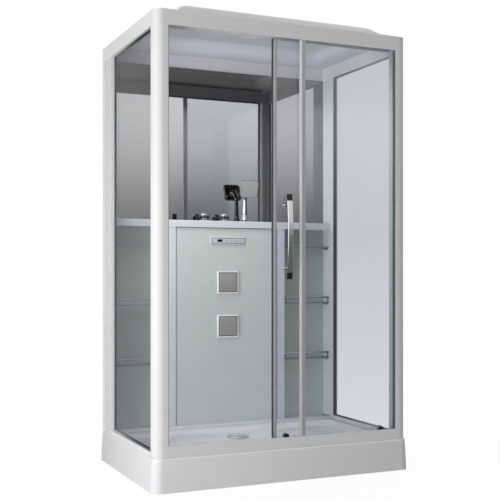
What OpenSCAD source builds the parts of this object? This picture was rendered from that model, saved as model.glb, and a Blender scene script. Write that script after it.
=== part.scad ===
// Rectangular shower cabin with a sliding door: tray, aluminium frame, glass, roof and back wall fittings.
// Origin at the middle of the tray's footprint on the floor, +X to the right, +Y to the back, +Z up.

/* [Tray] */
// Width of the tray at the floor
tray_w = 1300; // [1200:10:1500]
// Depth of the tray at the floor
tray_d = 900; // [880:10:1000]
// Height of the tray's rim
tray_h = 150; // [145:5:180]
// Lean of the apron from floor to rim
apron_draft = 7; // [3:1:10]
// Corner radius of the apron
apron_r = 45; // [35:1:60]
// Thickness of the tray's moulded shell
tray_wall = 5; // [4:1:7]
// Depth of the basin below the rim
basin_depth = 38; // [30:1:42]
// Width of the rim in front of the basin and beside it
basin_rim = 65; // [62:1:80]
// Depth of the deck behind the basin
rear_deck_d = 195; // [188:1:200]
// Step from the rim up to the rear deck
rear_step_h = 15; // [8:1:18]
// Corner radius of the basin
basin_r = 60; // [40:5:90]

/* [Frame] */
// Height of the frame's top face
frame_top = 2100; // [2000:10:2200]
// Distance from the tray's footprint to the frame's outer faces
frame_inset = 12; // [10:1:16]
// Width of a front post
post_w = 61; // [58:1:68]
// Outer corner radius of a front post
post_r = 40; // [25:1:50]
// Depth of a rear post and of the rear rails
rear_post_d = 54; // [50:1:56]
// Wall of the aluminium profiles
profile_wall = 2.5; // [2:0.1:3]
// Height of the top rails
rail_h = 68; // [64:1:75]
// Height of the front bottom rail
sill_h = 50; // [46:1:60]
// Height of the side bottom rails
side_sill_h = 20; // [16:1:30]
// Depth of the side rails and filler panels
side_rail_d = 27; // [24:1:32]
// Depth of the white filler panel behind each side glass
filler_d = 123; // [110:1:130]

/* [Glass] */
// Thickness of the safety glass
glass_t = 6; // [5:1:8]
// Width of the fixed pane's edge stile
stile_w = 28; // [24:1:40]
// Width of the door's leading stile
door_stile_w = 17; // [14:1:26]
// Width of the door from seal to rear edge
door_w = 647; // [610:1:665]

/* [Back wall] */
// Height of the ledge's top face
ledge_top = 1228; // [1224:1:1300]
// Thickness of the ledge's front edge
ledge_h = 35; // [28:1:38]
// Depth of the ledge in front of the back glass
ledge_d = 89; // [86:1:96]
// Width of the console column
console_w = 660; // [620:10:700]
// Width of a console frame member
member_w = 40; // [30:1:50]
// Height of the upper jet's middle
jet_high = 904; // [850:1:950]
// Height of the lower jet's middle
jet_low = 673; // [600:1:700]
// Size of a square jet over its bezel
jet_size = 120; // [105:1:125]
// Width of the control panel
panel_w = 200; // [180:1:220]
// Height of the control panel
panel_h = 42; // [38:1:50]
// Distance from the top frame member down to the control panel's middle
panel_drop = 69; // [67:1:93]

/* [Fittings] */
// Radius of a door wheel's flange
wheel_r = 13; // [12:0.5:14]
// Length of the door handle
handle_l = 392; // [300:4:440]
// Width of the door handle
handle_w = 28; // [24:1:34]
// Spread of a valve knob's cross handle
knob_span = 56; // [50:1:62]
// Width of the hand shower's head
head_w = 99; // [90:1:106]
// Radius of the drain cover
cover_r = 57; // [52:1:62]

/* [Hidden] */

$fn = 48;
seat = 0.3;         // gap between faces of pieces that move past each other
running = 0.05;     // radial play of a pin or spindle in its bore
over = 1;           // how far a cutter runs past the face that it opens

// outer faces of the frame
face_x = tray_w/2 - frame_inset;
face_y = tray_d/2 - frame_inset;
inner_x = face_x - side_rail_d;         // inner faces of the side rails
post_in_x = face_x - post_w;            // inner side faces of the front posts
post_in_y = -face_y + post_w;           // rear faces of the front posts
back_y = face_y - rear_post_d;          // front faces of the rear posts and rails
glass_back_y = back_y - glass_t;        // front face of the back glass and mirror
filler_y = back_y - filler_d;           // front edges of the filler panels
rail_z = frame_top - rail_h;            // lower faces of the top rails
deck_z = tray_h + rear_step_h;          // top of the tray's rear deck

// basin and drain
basin_x = tray_w/2 - basin_rim;
basin_front = -tray_d/2 + basin_rim;
basin_back = tray_d/2 - rear_deck_d;
basin_floor = tray_h - basin_depth;
basin_draft = 22;
drain_y = basin_back - 95;
drain_hole_r = 44;
drain_flange_r = 54;
drain_flange_t = 2;

// support frame under the tray
bar = 25;
bar_x = 400;
foot_ys = [-260, 60];
rear_bar_y = basin_back + 75;
tie_top = basin_floor - tray_wall - bar;
spigot_r = 20;
spigot_z = 26 + spigot_r;
spigot_run = 170;                                   // from the drain's axis to the spigot's end
spigot_end = drain_y + spigot_run;
spigot_l = 60;
pipe_notch_w = 110;                                 // notch in the rear apron for the waste pipe
pipe_notch_h = spigot_z + spigot_r + 28;

// sliding door, counted from the front faces backwards
fixed_glass_y = -face_y + profile_wall + 2.5;       // front face of the fixed pane
door_glass_y = fixed_glass_y + glass_t + 14;        // front face of the door pane
track_y = door_glass_y + glass_t + 12;              // middle of the wheels and of the beads they run on
bead_r = 3;
groove_r = wheel_r - 2.7;
wheel_w = 12;
axle_r = 4;
roll_r = groove_r + seat;                           // from the bead's crest to the wheel's axis
top_bead_z = rail_z + 27;
top_wheel_z = top_bead_z + roll_r;
low_bead_z = tray_h + 42;
low_wheel_z = low_bead_z + roll_r;
door_left = post_in_x - door_w;                     // leading face of the door seal, door open
door_seal_w = 6;
jamb_w = 10;                                        // seal on the left post that the door closes on
door_seal_z = [low_bead_z + 6, rail_z - 3];         // lowest and highest point of stile and seals
door_bottom = low_wheel_z - 14;
door_top = top_wheel_z + 13;
wheel_xs = [door_left + 74, post_in_x - 66];
handle_x = door_left + 80;
handle_z = 1121;
stud_dz = handle_l/2 - 50;
stile_x = door_left + 133;                          // left edge of the fixed stile

// console and what it carries
console_y = glass_back_y - ledge_d + 4;             // front faces of the console members
console_glass_y = console_y + 4;                    // front face of the console glass
member_top = ledge_top - ledge_h;
panel_z = member_top - panel_drop;
slot = 3;                                           // depth of the grooves that hold a glass edge
valve_y = glass_back_y - 58;
hot_x = -124;
cold_x = -11;
socket_x = 107;
mixer_z = member_top - 21;
mixer_r = 16;
mixer_overhang = 30;                                // mixer bar beyond each valve
inlet_r = 10.48;
inlet_end = back_y + 26;
inlet_l = 18;                                       // length of the threaded end of an inlet
jet_wall = 1.5;
jet_window = jet_size - 20;
jet_tub_d = 30;
jet_tail_l = 4;
jet_bezel_t = 8;
jet_pin_y = console_glass_y - 3.5;
plate_gap = 1;
button_r = 5;
button_l = 5.5;
button_xs = [-6, 18, 42, 66];
display_w = 28;
display_h = 14;
display_x = -46;

// shelves
shelf_zs = [483, 787, 1092];
rail_lift = 32;
shelf_front = console_y + 8;
front_clip_inset = 26;
rear_clip_inset = 30;
rail_rod_r = 4;

// hand shower
grip_r = 12.5;
plug_r = 11.5;
collar_z = ledge_top + 24;
grip_z = collar_z + 12;
neck_z = ledge_top + 124;
neck_lift = 22;
neck_reach = 16;
head_tilt = 20;
head_h = 95;
head_t = 20;
head_reach = 60;                                    // from the grip's axis forward to the head's middle
head_rise = 170;                                    // from the ledge up to the head's middle
head_z = ledge_top + head_rise;

// roof
roof_rise = 55;
roof_wall = 4;

// A rectangle round the origin with rounded corners.
module rounded_rect(w, d, r) {
    square([w - 2*r, d], center = true);
    square([w, d - 2*r], center = true);
    for (sx = [-1, 1], sy = [-1, 1])
        translate([sx*(w/2 - r), sy*(d/2 - r)]) circle(r);
}

// A block from its lowest to its highest corner.
module block(lo, hi) {
    translate(lo) cube(hi - lo);
}

// A hollow rectangular tube along Z between two corners.
module tube_z(lo, hi, wall) {
    difference() {
        block(lo, hi);
        block(lo + [wall, wall, -over], hi - [wall, wall, -over]);
    }
}

// A cylinder from a point along the named axis.
module rod(p, axis, r, l) {
    turn = axis == "x" ? [0, 90, 0] : axis == "y" ? [-90, 0, 0] : [0, 0, 0];
    translate(p) rotate(turn) cylinder(r = r, h = l);
}

// Mirrors its children to the left as well.
module both_sides() {
    children();
    mirror([1, 0, 0]) children();
}

// The tray's outline at one height, as a thin plate.
module apron_plate(inset, z, t = 0.5) {
    translate([0, 0, z]) linear_extrude(t) rounded_rect(tray_w - 2*inset, tray_d - 2*inset, apron_r, $fn = 32);
}

// The basin's outline at one height.
module basin_plate(grow, z, t = 0.5) {
    translate([0, (basin_front + basin_back)/2, z])
        linear_extrude(t)
            rounded_rect(2*basin_x + 2*grow, basin_back - basin_front + 2*grow, basin_r, $fn = 32);
}

module shower_tray() {
    edge = 0.5;
    color("gainsboro")
    difference() {
        union() {
            difference() {
                hull() {
                    apron_plate(0, 0);
                    apron_plate(apron_draft, tray_h - 10);
                    apron_plate(apron_draft + 2.5, tray_h - 3);
                    apron_plate(apron_draft + 7, tray_h - edge);
                }
                hull() {
                    apron_plate(tray_wall, -over);
                    apron_plate(tray_wall + apron_draft, tray_h - tray_wall - edge);
                }
            }
            hull() {
                basin_plate(-basin_draft + tray_wall, basin_floor - tray_wall);
                basin_plate(tray_wall, tray_h - edge);
            }
            rear_deck();
        }
        hull() {
            basin_plate(-basin_draft, basin_floor);
            basin_plate(0, tray_h + over);
        }
        rear_deck_hollow();
        rod([0, drain_y, basin_floor - tray_wall - over], "z", drain_hole_r, tray_wall + 2*over);
        block([-pipe_notch_w/2, tray_d/2 - apron_draft - 3*tray_wall, -over],
              [pipe_notch_w/2, tray_d/2 + over, pipe_notch_h]);
    }
}

// Raised part of the tray behind the basin, and the hollow that opens it from below.
deck_front = basin_back + 7;
module rear_deck() {
    block([-inner_x, deck_front, tray_h - tray_wall], [inner_x, back_y, deck_z]);
}
module rear_deck_hollow() {
    block([-inner_x + tray_wall, deck_front + tray_wall, tray_h - tray_wall - over],
          [inner_x - tray_wall, back_y - tray_wall, deck_z - tray_wall]);
}

module tray_support_frame() {
    base = basin_floor - tray_wall;
    rear_top = deck_z - tray_wall;
    color("dimgray") {
        for (y = foot_ys)
            block([-tray_w/2 + 95, y - bar/2, tie_top], [tray_w/2 - 95, y + bar/2, base]);
        block([-tray_w/2 + 95, rear_bar_y - bar/2, rear_top - bar], [tray_w/2 - 95, rear_bar_y + bar/2, rear_top]);
        both_sides() {
            block([bar_x - bar/2, foot_ys[0] - bar/2, tie_top - bar], [bar_x + bar/2, rear_bar_y + bar/2, tie_top]);
            block([bar_x - bar/2, rear_bar_y - bar/2, tie_top], [bar_x + bar/2, rear_bar_y + bar/2, rear_top - bar]);
        }
    }
}

module levelling_feet() {
    rod_top = tie_top - bar;
    pad_h = 8;
    color("dimgray")
    for (x = [-bar_x, bar_x], y = concat(foot_ys, [rear_bar_y]))
        translate([x, y, 0]) {
            cylinder(r1 = 24, r2 = 20, h = pad_h);
            translate([0, 0, pad_h]) cylinder(r = 6, h = rod_top - pad_h);
            translate([0, 0, rod_top - 10]) cylinder(r = 11, h = 10, $fn = 6);
        }
}

module drain_body() {
    top = basin_floor + drain_flange_t;
    bowl_r = drain_hole_r - 2;
    wall = 3;
    low = spigot_z - spigot_r - wall;
    color("whitesmoke")
    difference() {
        union() {
            rod([0, drain_y, low], "z", bowl_r, top - low);
            rod([0, drain_y, basin_floor], "z", drain_flange_r, drain_flange_t);
            rod([0, drain_y, spigot_z], "y", spigot_r + 2, spigot_end - spigot_l - drain_y);
            rod([0, drain_y, spigot_z], "y", spigot_r, spigot_end - drain_y);
        }
        rod([0, drain_y, low + wall], "z", bowl_r - wall, top - low);
        rod([0, drain_y, spigot_z], "y", spigot_r - wall, spigot_end - drain_y + over);
    }
}

module drain_cover() {
    base = basin_floor + drain_flange_t + seat;
    guide_r = drain_hole_r - 5 - seat;
    color("silver")
    translate([0, drain_y, base]) {
        rotate_extrude()
            polygon([[0, 0], [cover_r, 0], [cover_r, 1.2], [cover_r - 3, 3], [cover_r*0.5, 4.4], [0, 5]]);
        difference() {
            translate([0, 0, -18]) cylinder(r = guide_r, h = 18.5);
            translate([0, 0, -18 - over]) cylinder(r = guide_r - 2, h = 18 + over);
            for (a = [0:60:120])
                translate([0, 0, -11]) rotate([0, 0, a]) cube([2*cover_r, 16, 12], center = true);
        }
    }
}

// Quarter-round post section with its outer corner at the origin.
module quarter_section(w, r) {
    translate([r, 0]) square([w - r, w]);
    translate([0, r]) square([w, w - r]);
    intersection() {
        translate([r, r]) circle(r);
        square([r, r]);
    }
}

module front_post() {
    cap = 3;
    t = profile_wall;
    translate([-face_x, -face_y, tray_h])
        linear_extrude(frame_top - tray_h - cap) {
            difference() {
                quarter_section(post_w, post_r);
                translate([t, t]) quarter_section(post_w - 2*t, post_r - t);
            }
            translate([post_w - t - 14, t/2]) square([t, post_w - t]);
        }
}

module front_left_post() color("white") front_post();
module front_right_post() color("white") mirror([1, 0, 0]) front_post();

// Rear post: an open box section with a rib and two shallow face grooves on the outer side.
module rear_post() {
    cap = 3;
    t = profile_wall;
    r = 12;
    translate([face_x - post_w, back_y, tray_h])
        linear_extrude(frame_top - tray_h - cap)
            difference() {
                union() {
                    square([post_w - r, rear_post_d]);
                    square([post_w, rear_post_d - r]);
                    translate([post_w - r, rear_post_d - r]) circle(r);
                }
                translate([t, t]) square([post_w/2 - 1.5*t, rear_post_d - 2*t]);
                translate([post_w/2 + t/2, t]) square([post_w/2 - 1.5*t - r, rear_post_d - 2*t]);
                translate([post_w - t - r - 1, t]) square([r + 1, rear_post_d - t - r]);
            }
}

module rear_right_post() color("white") rear_post();
module rear_left_post() color("white") mirror([1, 0, 0]) rear_post();

module post_caps() {
    cap = 3;
    color("whitesmoke")
    both_sides() {
        translate([-face_x, -face_y, frame_top - cap]) linear_extrude(cap) quarter_section(post_w, post_r);
        translate([-face_x, face_y, frame_top - cap])
            mirror([0, 1, 0]) linear_extrude(cap) {
                translate([12, 0]) square([post_w - 12, rear_post_d]);
                translate([0, 12]) square([post_w, rear_post_d - 12]);
                translate([12, 12]) circle(12);
            }
    }
}

// Section of the front top rail in Y and Z: a channel open below, with the ledge and bead for the wheels.
module front_top_rail() {
    t = profile_wall;
    rear = post_in_y;
    color("whitesmoke")
    rotate([90, 0, 90])
        translate([0, 0, -post_in_x])
            linear_extrude(2*post_in_x) {
                translate([-face_y, rail_z]) square([t, rail_h]);
                translate([-face_y, frame_top - t]) square([post_w, t]);
                translate([rear - t, rail_z]) square([t, rail_h]);
                translate([track_y - 6, top_bead_z - 8]) square([rear - track_y + 6, t]);
                translate([track_y - bead_r, top_bead_z - 8]) square([2*bead_r, 8 - bead_r]);
                translate([track_y, top_bead_z - bead_r]) circle(bead_r);
                translate([fixed_glass_y + glass_t + 2.5, rail_z + 4]) square([t, rail_h - 4]);
            }
}

// Section of the front bottom rail: a channel open above, with the rib and bead for the lower wheels.
module front_bottom_rail() {
    t = profile_wall;
    rear = post_in_y;
    color("whitesmoke")
    rotate([90, 0, 90])
        translate([0, 0, -post_in_x])
            linear_extrude(2*post_in_x) {
                translate([-face_y, tray_h]) square([t, sill_h]);
                translate([-face_y, tray_h]) square([post_w, t]);
                translate([rear - t, tray_h]) square([t, sill_h*0.55]);
                translate([track_y - bead_r, tray_h]) square([2*bead_r, low_bead_z - tray_h - bead_r]);
                translate([track_y, low_bead_z - bead_r]) circle(bead_r);
                translate([fixed_glass_y + glass_t + 2.5, tray_h]) square([t, sill_h - 8]);
            }
}

// One side rail, drawn on the right: a hollow box with a shallow glazing nib.
module side_rail(z, h) {
    t = profile_wall;
    rotate([90, 0, 0])
        translate([0, 0, -back_y])
            linear_extrude(back_y - post_in_y)
                translate([inner_x, z])
                    difference() {
                        square([side_rail_d, h]);
                        translate([t, t]) square([side_rail_d - 2*t, h - 2*t]);
                    }
}

module right_top_rail() color("whitesmoke") side_rail(rail_z, rail_h);
module left_top_rail() color("white") mirror([1, 0, 0]) side_rail(rail_z, rail_h);
module side_bottom_rails() {
    color("whitesmoke") both_sides()
        intersection() {
            side_rail(tray_h, side_sill_h);
            block([0, post_in_y, tray_h], [face_x, filler_y, tray_h + side_sill_h]);
        }
}

// One rear rail between the rear posts.
module rear_rail(z, h) {
    t = profile_wall;
    rotate([90, 0, 90])
        translate([0, 0, -post_in_x])
            linear_extrude(2*post_in_x)
                translate([back_y, z])
                    difference() {
                        square([rear_post_d, h]);
                        translate([t, t]) square([rear_post_d - 2*t, h - 2*t]);
                    }
}

module rear_top_rail() color("whitesmoke") rear_rail(rail_z, rail_h);
module rear_bottom_rail() color("whitesmoke") rear_rail(tray_h, sill_h);

// White closed profile between side glass and rear post, with two grooves on its outer face.
module filler_panel() {
    t = profile_wall;
    groove = 2;
    translate([inner_x, filler_y, tray_h])
        linear_extrude(rail_z - tray_h)
            difference() {
                square([side_rail_d, filler_d]);
                translate([t, t]) square([side_rail_d - 2*t - groove, filler_d/2 - 1.5*t]);
                translate([t, filler_d/2 + t/2]) square([side_rail_d - 2*t - groove, filler_d/2 - 1.5*t]);
                for (s = [0.42, 0.82])
                    translate([side_rail_d - groove, filler_d*s]) square([groove + over, 3]);
            }
}

module right_filler_panel() color("white") filler_panel();
module left_filler_panel() color("white") mirror([1, 0, 0]) filler_panel();

// Glass pane of a side, held by its gasket.
side_len = filler_y - post_in_y;
side_glass_bottom = tray_h + side_sill_h;
gasket_t = glass_t + 6;
gasket_w = 7;
gasket_web = 3;
gasket_x = inner_x + 3;

module side_glass() {
    color("lightcyan", 0.3)
    block([gasket_x + 3, post_in_y + gasket_web, side_glass_bottom + gasket_web],
          [gasket_x + 3 + glass_t, filler_y - gasket_web, rail_z - gasket_web]);
}

module right_side_glass() side_glass();
module left_side_glass() mirror([1, 0, 0]) side_glass();

module side_gaskets() {
    web = [0, gasket_web, gasket_web];
    wide = [over, -gasket_w, -gasket_w];
    lo = [gasket_x, post_in_y, side_glass_bottom];
    hi = [gasket_x + gasket_t, filler_y, rail_z];
    color("dimgray")
    both_sides()
        difference() {
            block(lo, hi);
            block(lo - wide, hi + wide);
            block(lo + web + [3, 0, 0], hi - web - [3, 0, 0]);
        }
}

fixed_bottom = tray_h + profile_wall + 4;
fixed_top = frame_top - profile_wall - 4;
fixed_right = post_in_x - gasket_web;
stile_d = 14;

module fixed_glass() {
    color("lightcyan", 0.3)
    block([stile_x + stile_w/2, fixed_glass_y, fixed_bottom + gasket_web],
          [fixed_right, fixed_glass_y + glass_t, fixed_top - gasket_web]);
}

// Dark gasket round the fixed pane, open towards the stile, and the seal on the post that the door closes on.
module fixed_seals() {
    lo = [stile_x + stile_w + 1, fixed_glass_y - 2.5, fixed_bottom];
    hi = [post_in_x, fixed_glass_y + glass_t + 2.5, fixed_top];
    color("dimgray")
    difference() {
        block(lo, hi);
        block([lo[0] - over, lo[1] - over, lo[2] + 16], [hi[0] - 6, hi[1] + over, hi[2] - 36]);
        block([lo[0] - over, lo[1] + 2.5, lo[2] + gasket_web], [hi[0] - gasket_web, hi[1] - 2.5, hi[2] - gasket_web]);
    }
    color("dimgray")
    block([-post_in_x, door_glass_y - 1.5, door_seal_z[0]],
          [-post_in_x + jamb_w, door_glass_y + glass_t + 1.5, door_seal_z[1]]);
}

// Polished stile on the free edge of the fixed pane: a shallow oval bar with a glass groove and a brush.
module fixed_stile() {
    y0 = fixed_glass_y - 2.4;
    z0 = fixed_bottom;
    z1 = fixed_top;
    nose = stile_d/2;
    color("silver")
    difference() {
        translate([0, 0, z0])
            linear_extrude(z1 - z0) {
                translate([stile_x + nose, y0]) square([stile_w - nose, stile_d]);
                translate([stile_x + nose, y0 + nose]) circle(nose);
                translate([stile_x + 9, y0 + stile_d]) square([3, 4]);
            }
        block([stile_x + stile_w/2, fixed_glass_y, z0 - over], [stile_x + stile_w + over, fixed_glass_y + glass_t, z1 + over]);
        block([stile_x - over, y0 + stile_d - 3.4, z0 - over], [stile_x + stile_w + over, y0 + stile_d + 5, tray_h + sill_h - 7]);
        block([stile_x - over, y0 + stile_d - 3.4, rail_z + 3], [stile_x + stile_w + over, y0 + stile_d + 5, z1 + over]);
    }
}

// One closed loop of points: a rounded rectangle between inset limits at height z.
function loop(x, y_lo, y_hi, r, z, n = 6) = [
    for (corner = [[1, -1, 270], [1, 1, 0], [-1, 1, 90], [-1, -1, 180]])
        let (cx = corner[0]*(x - r), cy = corner[1] > 0 ? y_hi - r : y_lo + r)
            for (k = [0:n])
                let (a = corner[2] + 90*k/n)
                    [cx + r*cos(a), cy + r*sin(a), z]];

// A closed skin through loops of equal length, from the lowest to the highest.
module loft(loops) {
    n = len(loops[0]);
    m = len(loops);
    polyhedron(
        points = [for (l = loops) for (p = l) p],
        faces = concat(
            [[for (k = [0:n-1]) k]],
            [for (j = [0:m-2], k = [0:n-1])
                let (a = j*n + k, b = j*n + (k + 1) % n) [a, a + n, b + n, b]],
            [[for (k = [n-1:-1:0]) (m-1)*n + k]]));
}

// Cove of the roof: height above the frame, then the insets at the front, the sides and the back.
roof_cove = [
    [2, 8, 22, 40, 20], [8, 26, 72, 90, 24], [14, 40, 98, 122, 28], [24, 52, 118, 148, 32],
    [40, 74, 136, 176, 36], [50, 92, 150, 200, 38], [roof_rise, 112, 166, 222, 40]];

function roof_loops(shift, grow) = [
    for (c = roof_cove)
        loop(face_x - c[2] + grow, -face_y + c[1] - grow, face_y - c[3] + grow, c[4], frame_top + c[0] + shift)];

// The same loops with a copy of the lowest one at height z below them.
function from_base(loops, z) = concat([[for (p = loops[0]) [p[0], p[1], z]]], loops);

module roof() {
    flange = 6;
    color("gainsboro")
    difference() {
        union() {
            translate([0, 0, frame_top])
                linear_extrude(roof_cove[0][0])
                    rounded_rect(2*(face_x - flange), 2*(face_y - flange), post_r - flange);
            loft(from_base(roof_loops(0, 0), frame_top));
        }
        loft(from_base(roof_loops(-roof_wall, -roof_wall), frame_top - roof_wall - over));
    }
}

// Round lamp under the roof's flat middle.
module ceiling_lamp() {
    top = frame_top + roof_rise - roof_wall;
    color("white")
    translate([0, -20, top])
        rotate_extrude()
            polygon([[0, 0], [72, 0], [74, -5], [70, -11], [64, -12], [62, -9], [56, -9], [40, -12], [20, -13.5], [0, -14]]);
}

module mirror_body(z0, z1) {
    block([-inner_x, glass_back_y, z0], [inner_x, back_y, z1]);
}

module mirror_glass() color("lightsteelblue") mirror_body(ledge_top, rail_z);

module lower_back_glass() {
    hole_r = inlet_r + 3;
    color("darkseagreen")
    difference() {
        mirror_body(deck_z, member_top);
        for (x = [hot_x, cold_x]) rod([x, glass_back_y - over, mixer_z], "y", hole_r, glass_t + 2*over);
    }
}

// Moulded ledge: a top plate with a rounded front edge and lips all round, open below.
module ledge() {
    plate = 8;
    lip = 6;
    edge_r = 4;
    front = glass_back_y - ledge_d;
    color("lavender")
    difference() {
        union() {
            block([-inner_x, front + edge_r, member_top], [inner_x, back_y, ledge_top]);
            block([-inner_x, front, member_top], [inner_x, front + edge_r, ledge_top - edge_r]);
            rod([-inner_x, front + edge_r, ledge_top - edge_r], "x", edge_r, 2*inner_x);
        }
        block([-inner_x + lip, front + lip, member_top - over], [inner_x - lip, back_y - lip, ledge_top - plate]);
        for (x = [hot_x, cold_x]) rod([x, valve_y, ledge_top - plate - over], "z", spindle_hole_r, plate + 2*over);
        rod([socket_x, valve_y, ledge_top - plate - over], "z", socket_hole_r, plate + 2*over);
    }
}
spindle_hole_r = 11;
socket_hole_r = 15;

// The two box members that frame the console, grooved for its glass.
module console_frame() {
    t = 2;
    color("lavender")
    both_sides()
        difference() {
            tube_z([console_w/2 - member_w, console_y, deck_z], [console_w/2, glass_back_y, member_top], t + slot);
            block([console_w/2 - member_w - over, console_glass_y, deck_z - over],
                  [console_w/2 - member_w + slot, console_glass_y + glass_t, member_top + over]);
        }
}

tub = jet_window + 2*jet_wall;

module console_glass() {
    half = console_w/2 - member_w + slot;
    hole = tub + 1;
    box_hole = [panel_w - 20, panel_h - 12];
    color("honeydew", 0.6)
    difference() {
        block([-half, console_glass_y, deck_z], [half, console_glass_y + glass_t, member_top]);
        for (z = [jet_high, jet_low])
            block([-hole/2, console_glass_y - over, z - hole/2], [hole/2, console_glass_y + glass_t + over, z + hole/2]);
        block([-box_hole[0]/2, console_glass_y - over, panel_z - box_hole[1]/2],
              [box_hole[0]/2, console_glass_y + glass_t + over, panel_z + box_hole[1]/2]);
    }
}

// Three glass shelves in each niche, resting on clips at both ends.
shelf_in = console_w/2 + 1;
shelf_out = inner_x - 1;
module glass_shelves() {
    r = 8;
    color("paleturquoise", 0.5)
    both_sides()
        for (z = shelf_zs)
            translate([(shelf_in + shelf_out)/2, (shelf_front + glass_back_y)/2, z])
                linear_extrude(glass_t) rounded_rect(shelf_out - shelf_in, glass_back_y - shelf_front, r);
}

// Chrome gallery rail in front of each lower and middle shelf, on two posts that clamp the glass.
module shelf_rails() {
    y = shelf_front + 8;
    post_xs = [shelf_in + 10, shelf_out - 10];
    color("silver")
    both_sides()
        for (z = [shelf_zs[0], shelf_zs[1]]) {
            rod([shelf_in, y, z + rail_lift], "x", rail_rod_r, shelf_out - shelf_in);
            for (x = post_xs) {
                rod([x, y, z + glass_t], "z", rail_rod_r, rail_lift - glass_t);
                rod([x, y, z + glass_t], "z", 7, 3);
            }
        }
}

// Clips under both ends of each shelf, on the console's side and on the filler panel's side.
module shelf_clips() {
    clip_l = 14;
    clip_h = 9;
    color("silver")
    both_sides()
        for (z = shelf_zs, y = [shelf_front + front_clip_inset, glass_back_y - rear_clip_inset]) {
            rod([console_w/2, y, z - clip_h/2], "x", clip_h/2, clip_l);
            rod([inner_x - clip_l, y, z - clip_h/2], "x", clip_h/2, clip_l);
        }
}

// Panel plate over the console glass, with a window and button holes.
panel_t = 6;
panel_y = console_glass_y - panel_t;
module control_panel() {
    r = 8;
    hole_r = button_r + 0.2;
    color("lavender")
    difference() {
        translate([0, panel_y, panel_z])
            rotate([-90, 0, 0])
                linear_extrude(panel_t) rounded_rect(panel_w, panel_h, r);
        for (x = button_xs) rod([x, panel_y - over, panel_z], "y", hole_r, panel_t + 2*over);
        block([display_x - display_w/2, panel_y - over, panel_z - display_h/2],
              [display_x + display_w/2, panel_y + panel_t + over, panel_z + display_h/2]);
    }
}

module panel_display() {
    color("black")
    block([display_x - display_w/2, panel_y + 1, panel_z - display_h/2],
          [display_x + display_w/2, console_glass_y, panel_z + display_h/2]);
}

module control_box() {
    neck = [panel_w - 21, panel_h - 13];
    body_box = [panel_w + 10, panel_h + 8];
    color("darkslategray") {
        block([-neck[0]/2, console_glass_y, panel_z - neck[1]/2],
              [neck[0]/2, console_glass_y + glass_t, panel_z + neck[1]/2]);
        block([-body_box[0]/2, console_glass_y + glass_t, panel_z - body_box[1]/2],
              [body_box[0]/2, console_glass_y + glass_t + 22, panel_z + body_box[1]/2]);
    }
}

// Push button with a rounded edge, its back just clear of the control box by its travel.
module button(x) {
    travel_room = 1.3;
    back = console_glass_y - travel_room;
    color("whitesmoke")
    translate([x, back, panel_z])
        rotate([90, 0, 0])
            rotate_extrude()
                polygon([[0, 0], [button_r, 0], [button_r, button_l - 0.8], [button_r - 0.8, button_l], [0, button_l]]);
}
module light_button() button(button_xs[0]);
module fan_button() button(button_xs[1]);
module radio_button() button(button_xs[2]);
module power_button() button(button_xs[3]);

// Square jet: bezel in front of the glass, tub through it, pivot pins and a threaded tail.
module jet_housings() {
    corner = 5;
    step = 2;                                       // step round the bezel's edge
    floor_t = 4;
    color("silver")
    for (z = [jet_high, jet_low])
        translate([0, console_glass_y, z])
            difference() {
                union() {
                    rotate([90, 0, 0]) {
                        linear_extrude(jet_bezel_t - step) rounded_rect(jet_size, jet_size, corner);
                        linear_extrude(jet_bezel_t) rounded_rect(jet_size - 2*step, jet_size - 2*step, corner - step);
                    }
                    translate([0, jet_tub_d/2, 0]) cube([tub, jet_tub_d, tub], center = true);
                    rod([0, jet_tub_d, 0], "y", 10, jet_tail_l);
                }
                translate([0, (jet_tub_d - floor_t - jet_bezel_t - over)/2, 0])
                    cube([jet_window, jet_tub_d - floor_t + jet_bezel_t + over, jet_window], center = true);
                rod([0, jet_tub_d - floor_t - over, 0], "y", 6, jet_tail_l + floor_t + 2*over);
            }
    color("silver")
    for (z = [jet_high, jet_low])
        translate([0, jet_pin_y, z]) {
            rod([-jet_window/2, 0, 0], "x", jet_pin_r, jet_pin_l);
            rod([jet_window/2 - jet_pin_l, 0, 0], "x", jet_pin_r, jet_pin_l);
        }
}
jet_pin_r = 1.6;
jet_pin_l = 6;

// Nozzle plate that tilts on two pins, with a field of short nozzles.
module jet_plate(z) {
    side = jet_window - 2*plate_gap;
    t = 5;
    n = 7;
    pitch = (side - 16)/(n - 1);
    color("darkgray")
    translate([0, jet_pin_y, z])
        difference() {
            union() {
                cube([side, t, side], center = true);
                for (i = [0:n-1], k = [0:n-1])
                    rod([(i - (n-1)/2)*pitch, -t/2 - 1.2, (k - (n-1)/2)*pitch], "y", 2.2, 1.2 + over);
            }
            for (x = [-side/2 - over, side/2 - jet_pin_l])
                rod([x, 0, 0], "x", jet_pin_r + running, jet_pin_l + over);
        }
}
module upper_jet_plate() jet_plate(jet_high);
module lower_jet_plate() jet_plate(jet_low);

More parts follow.
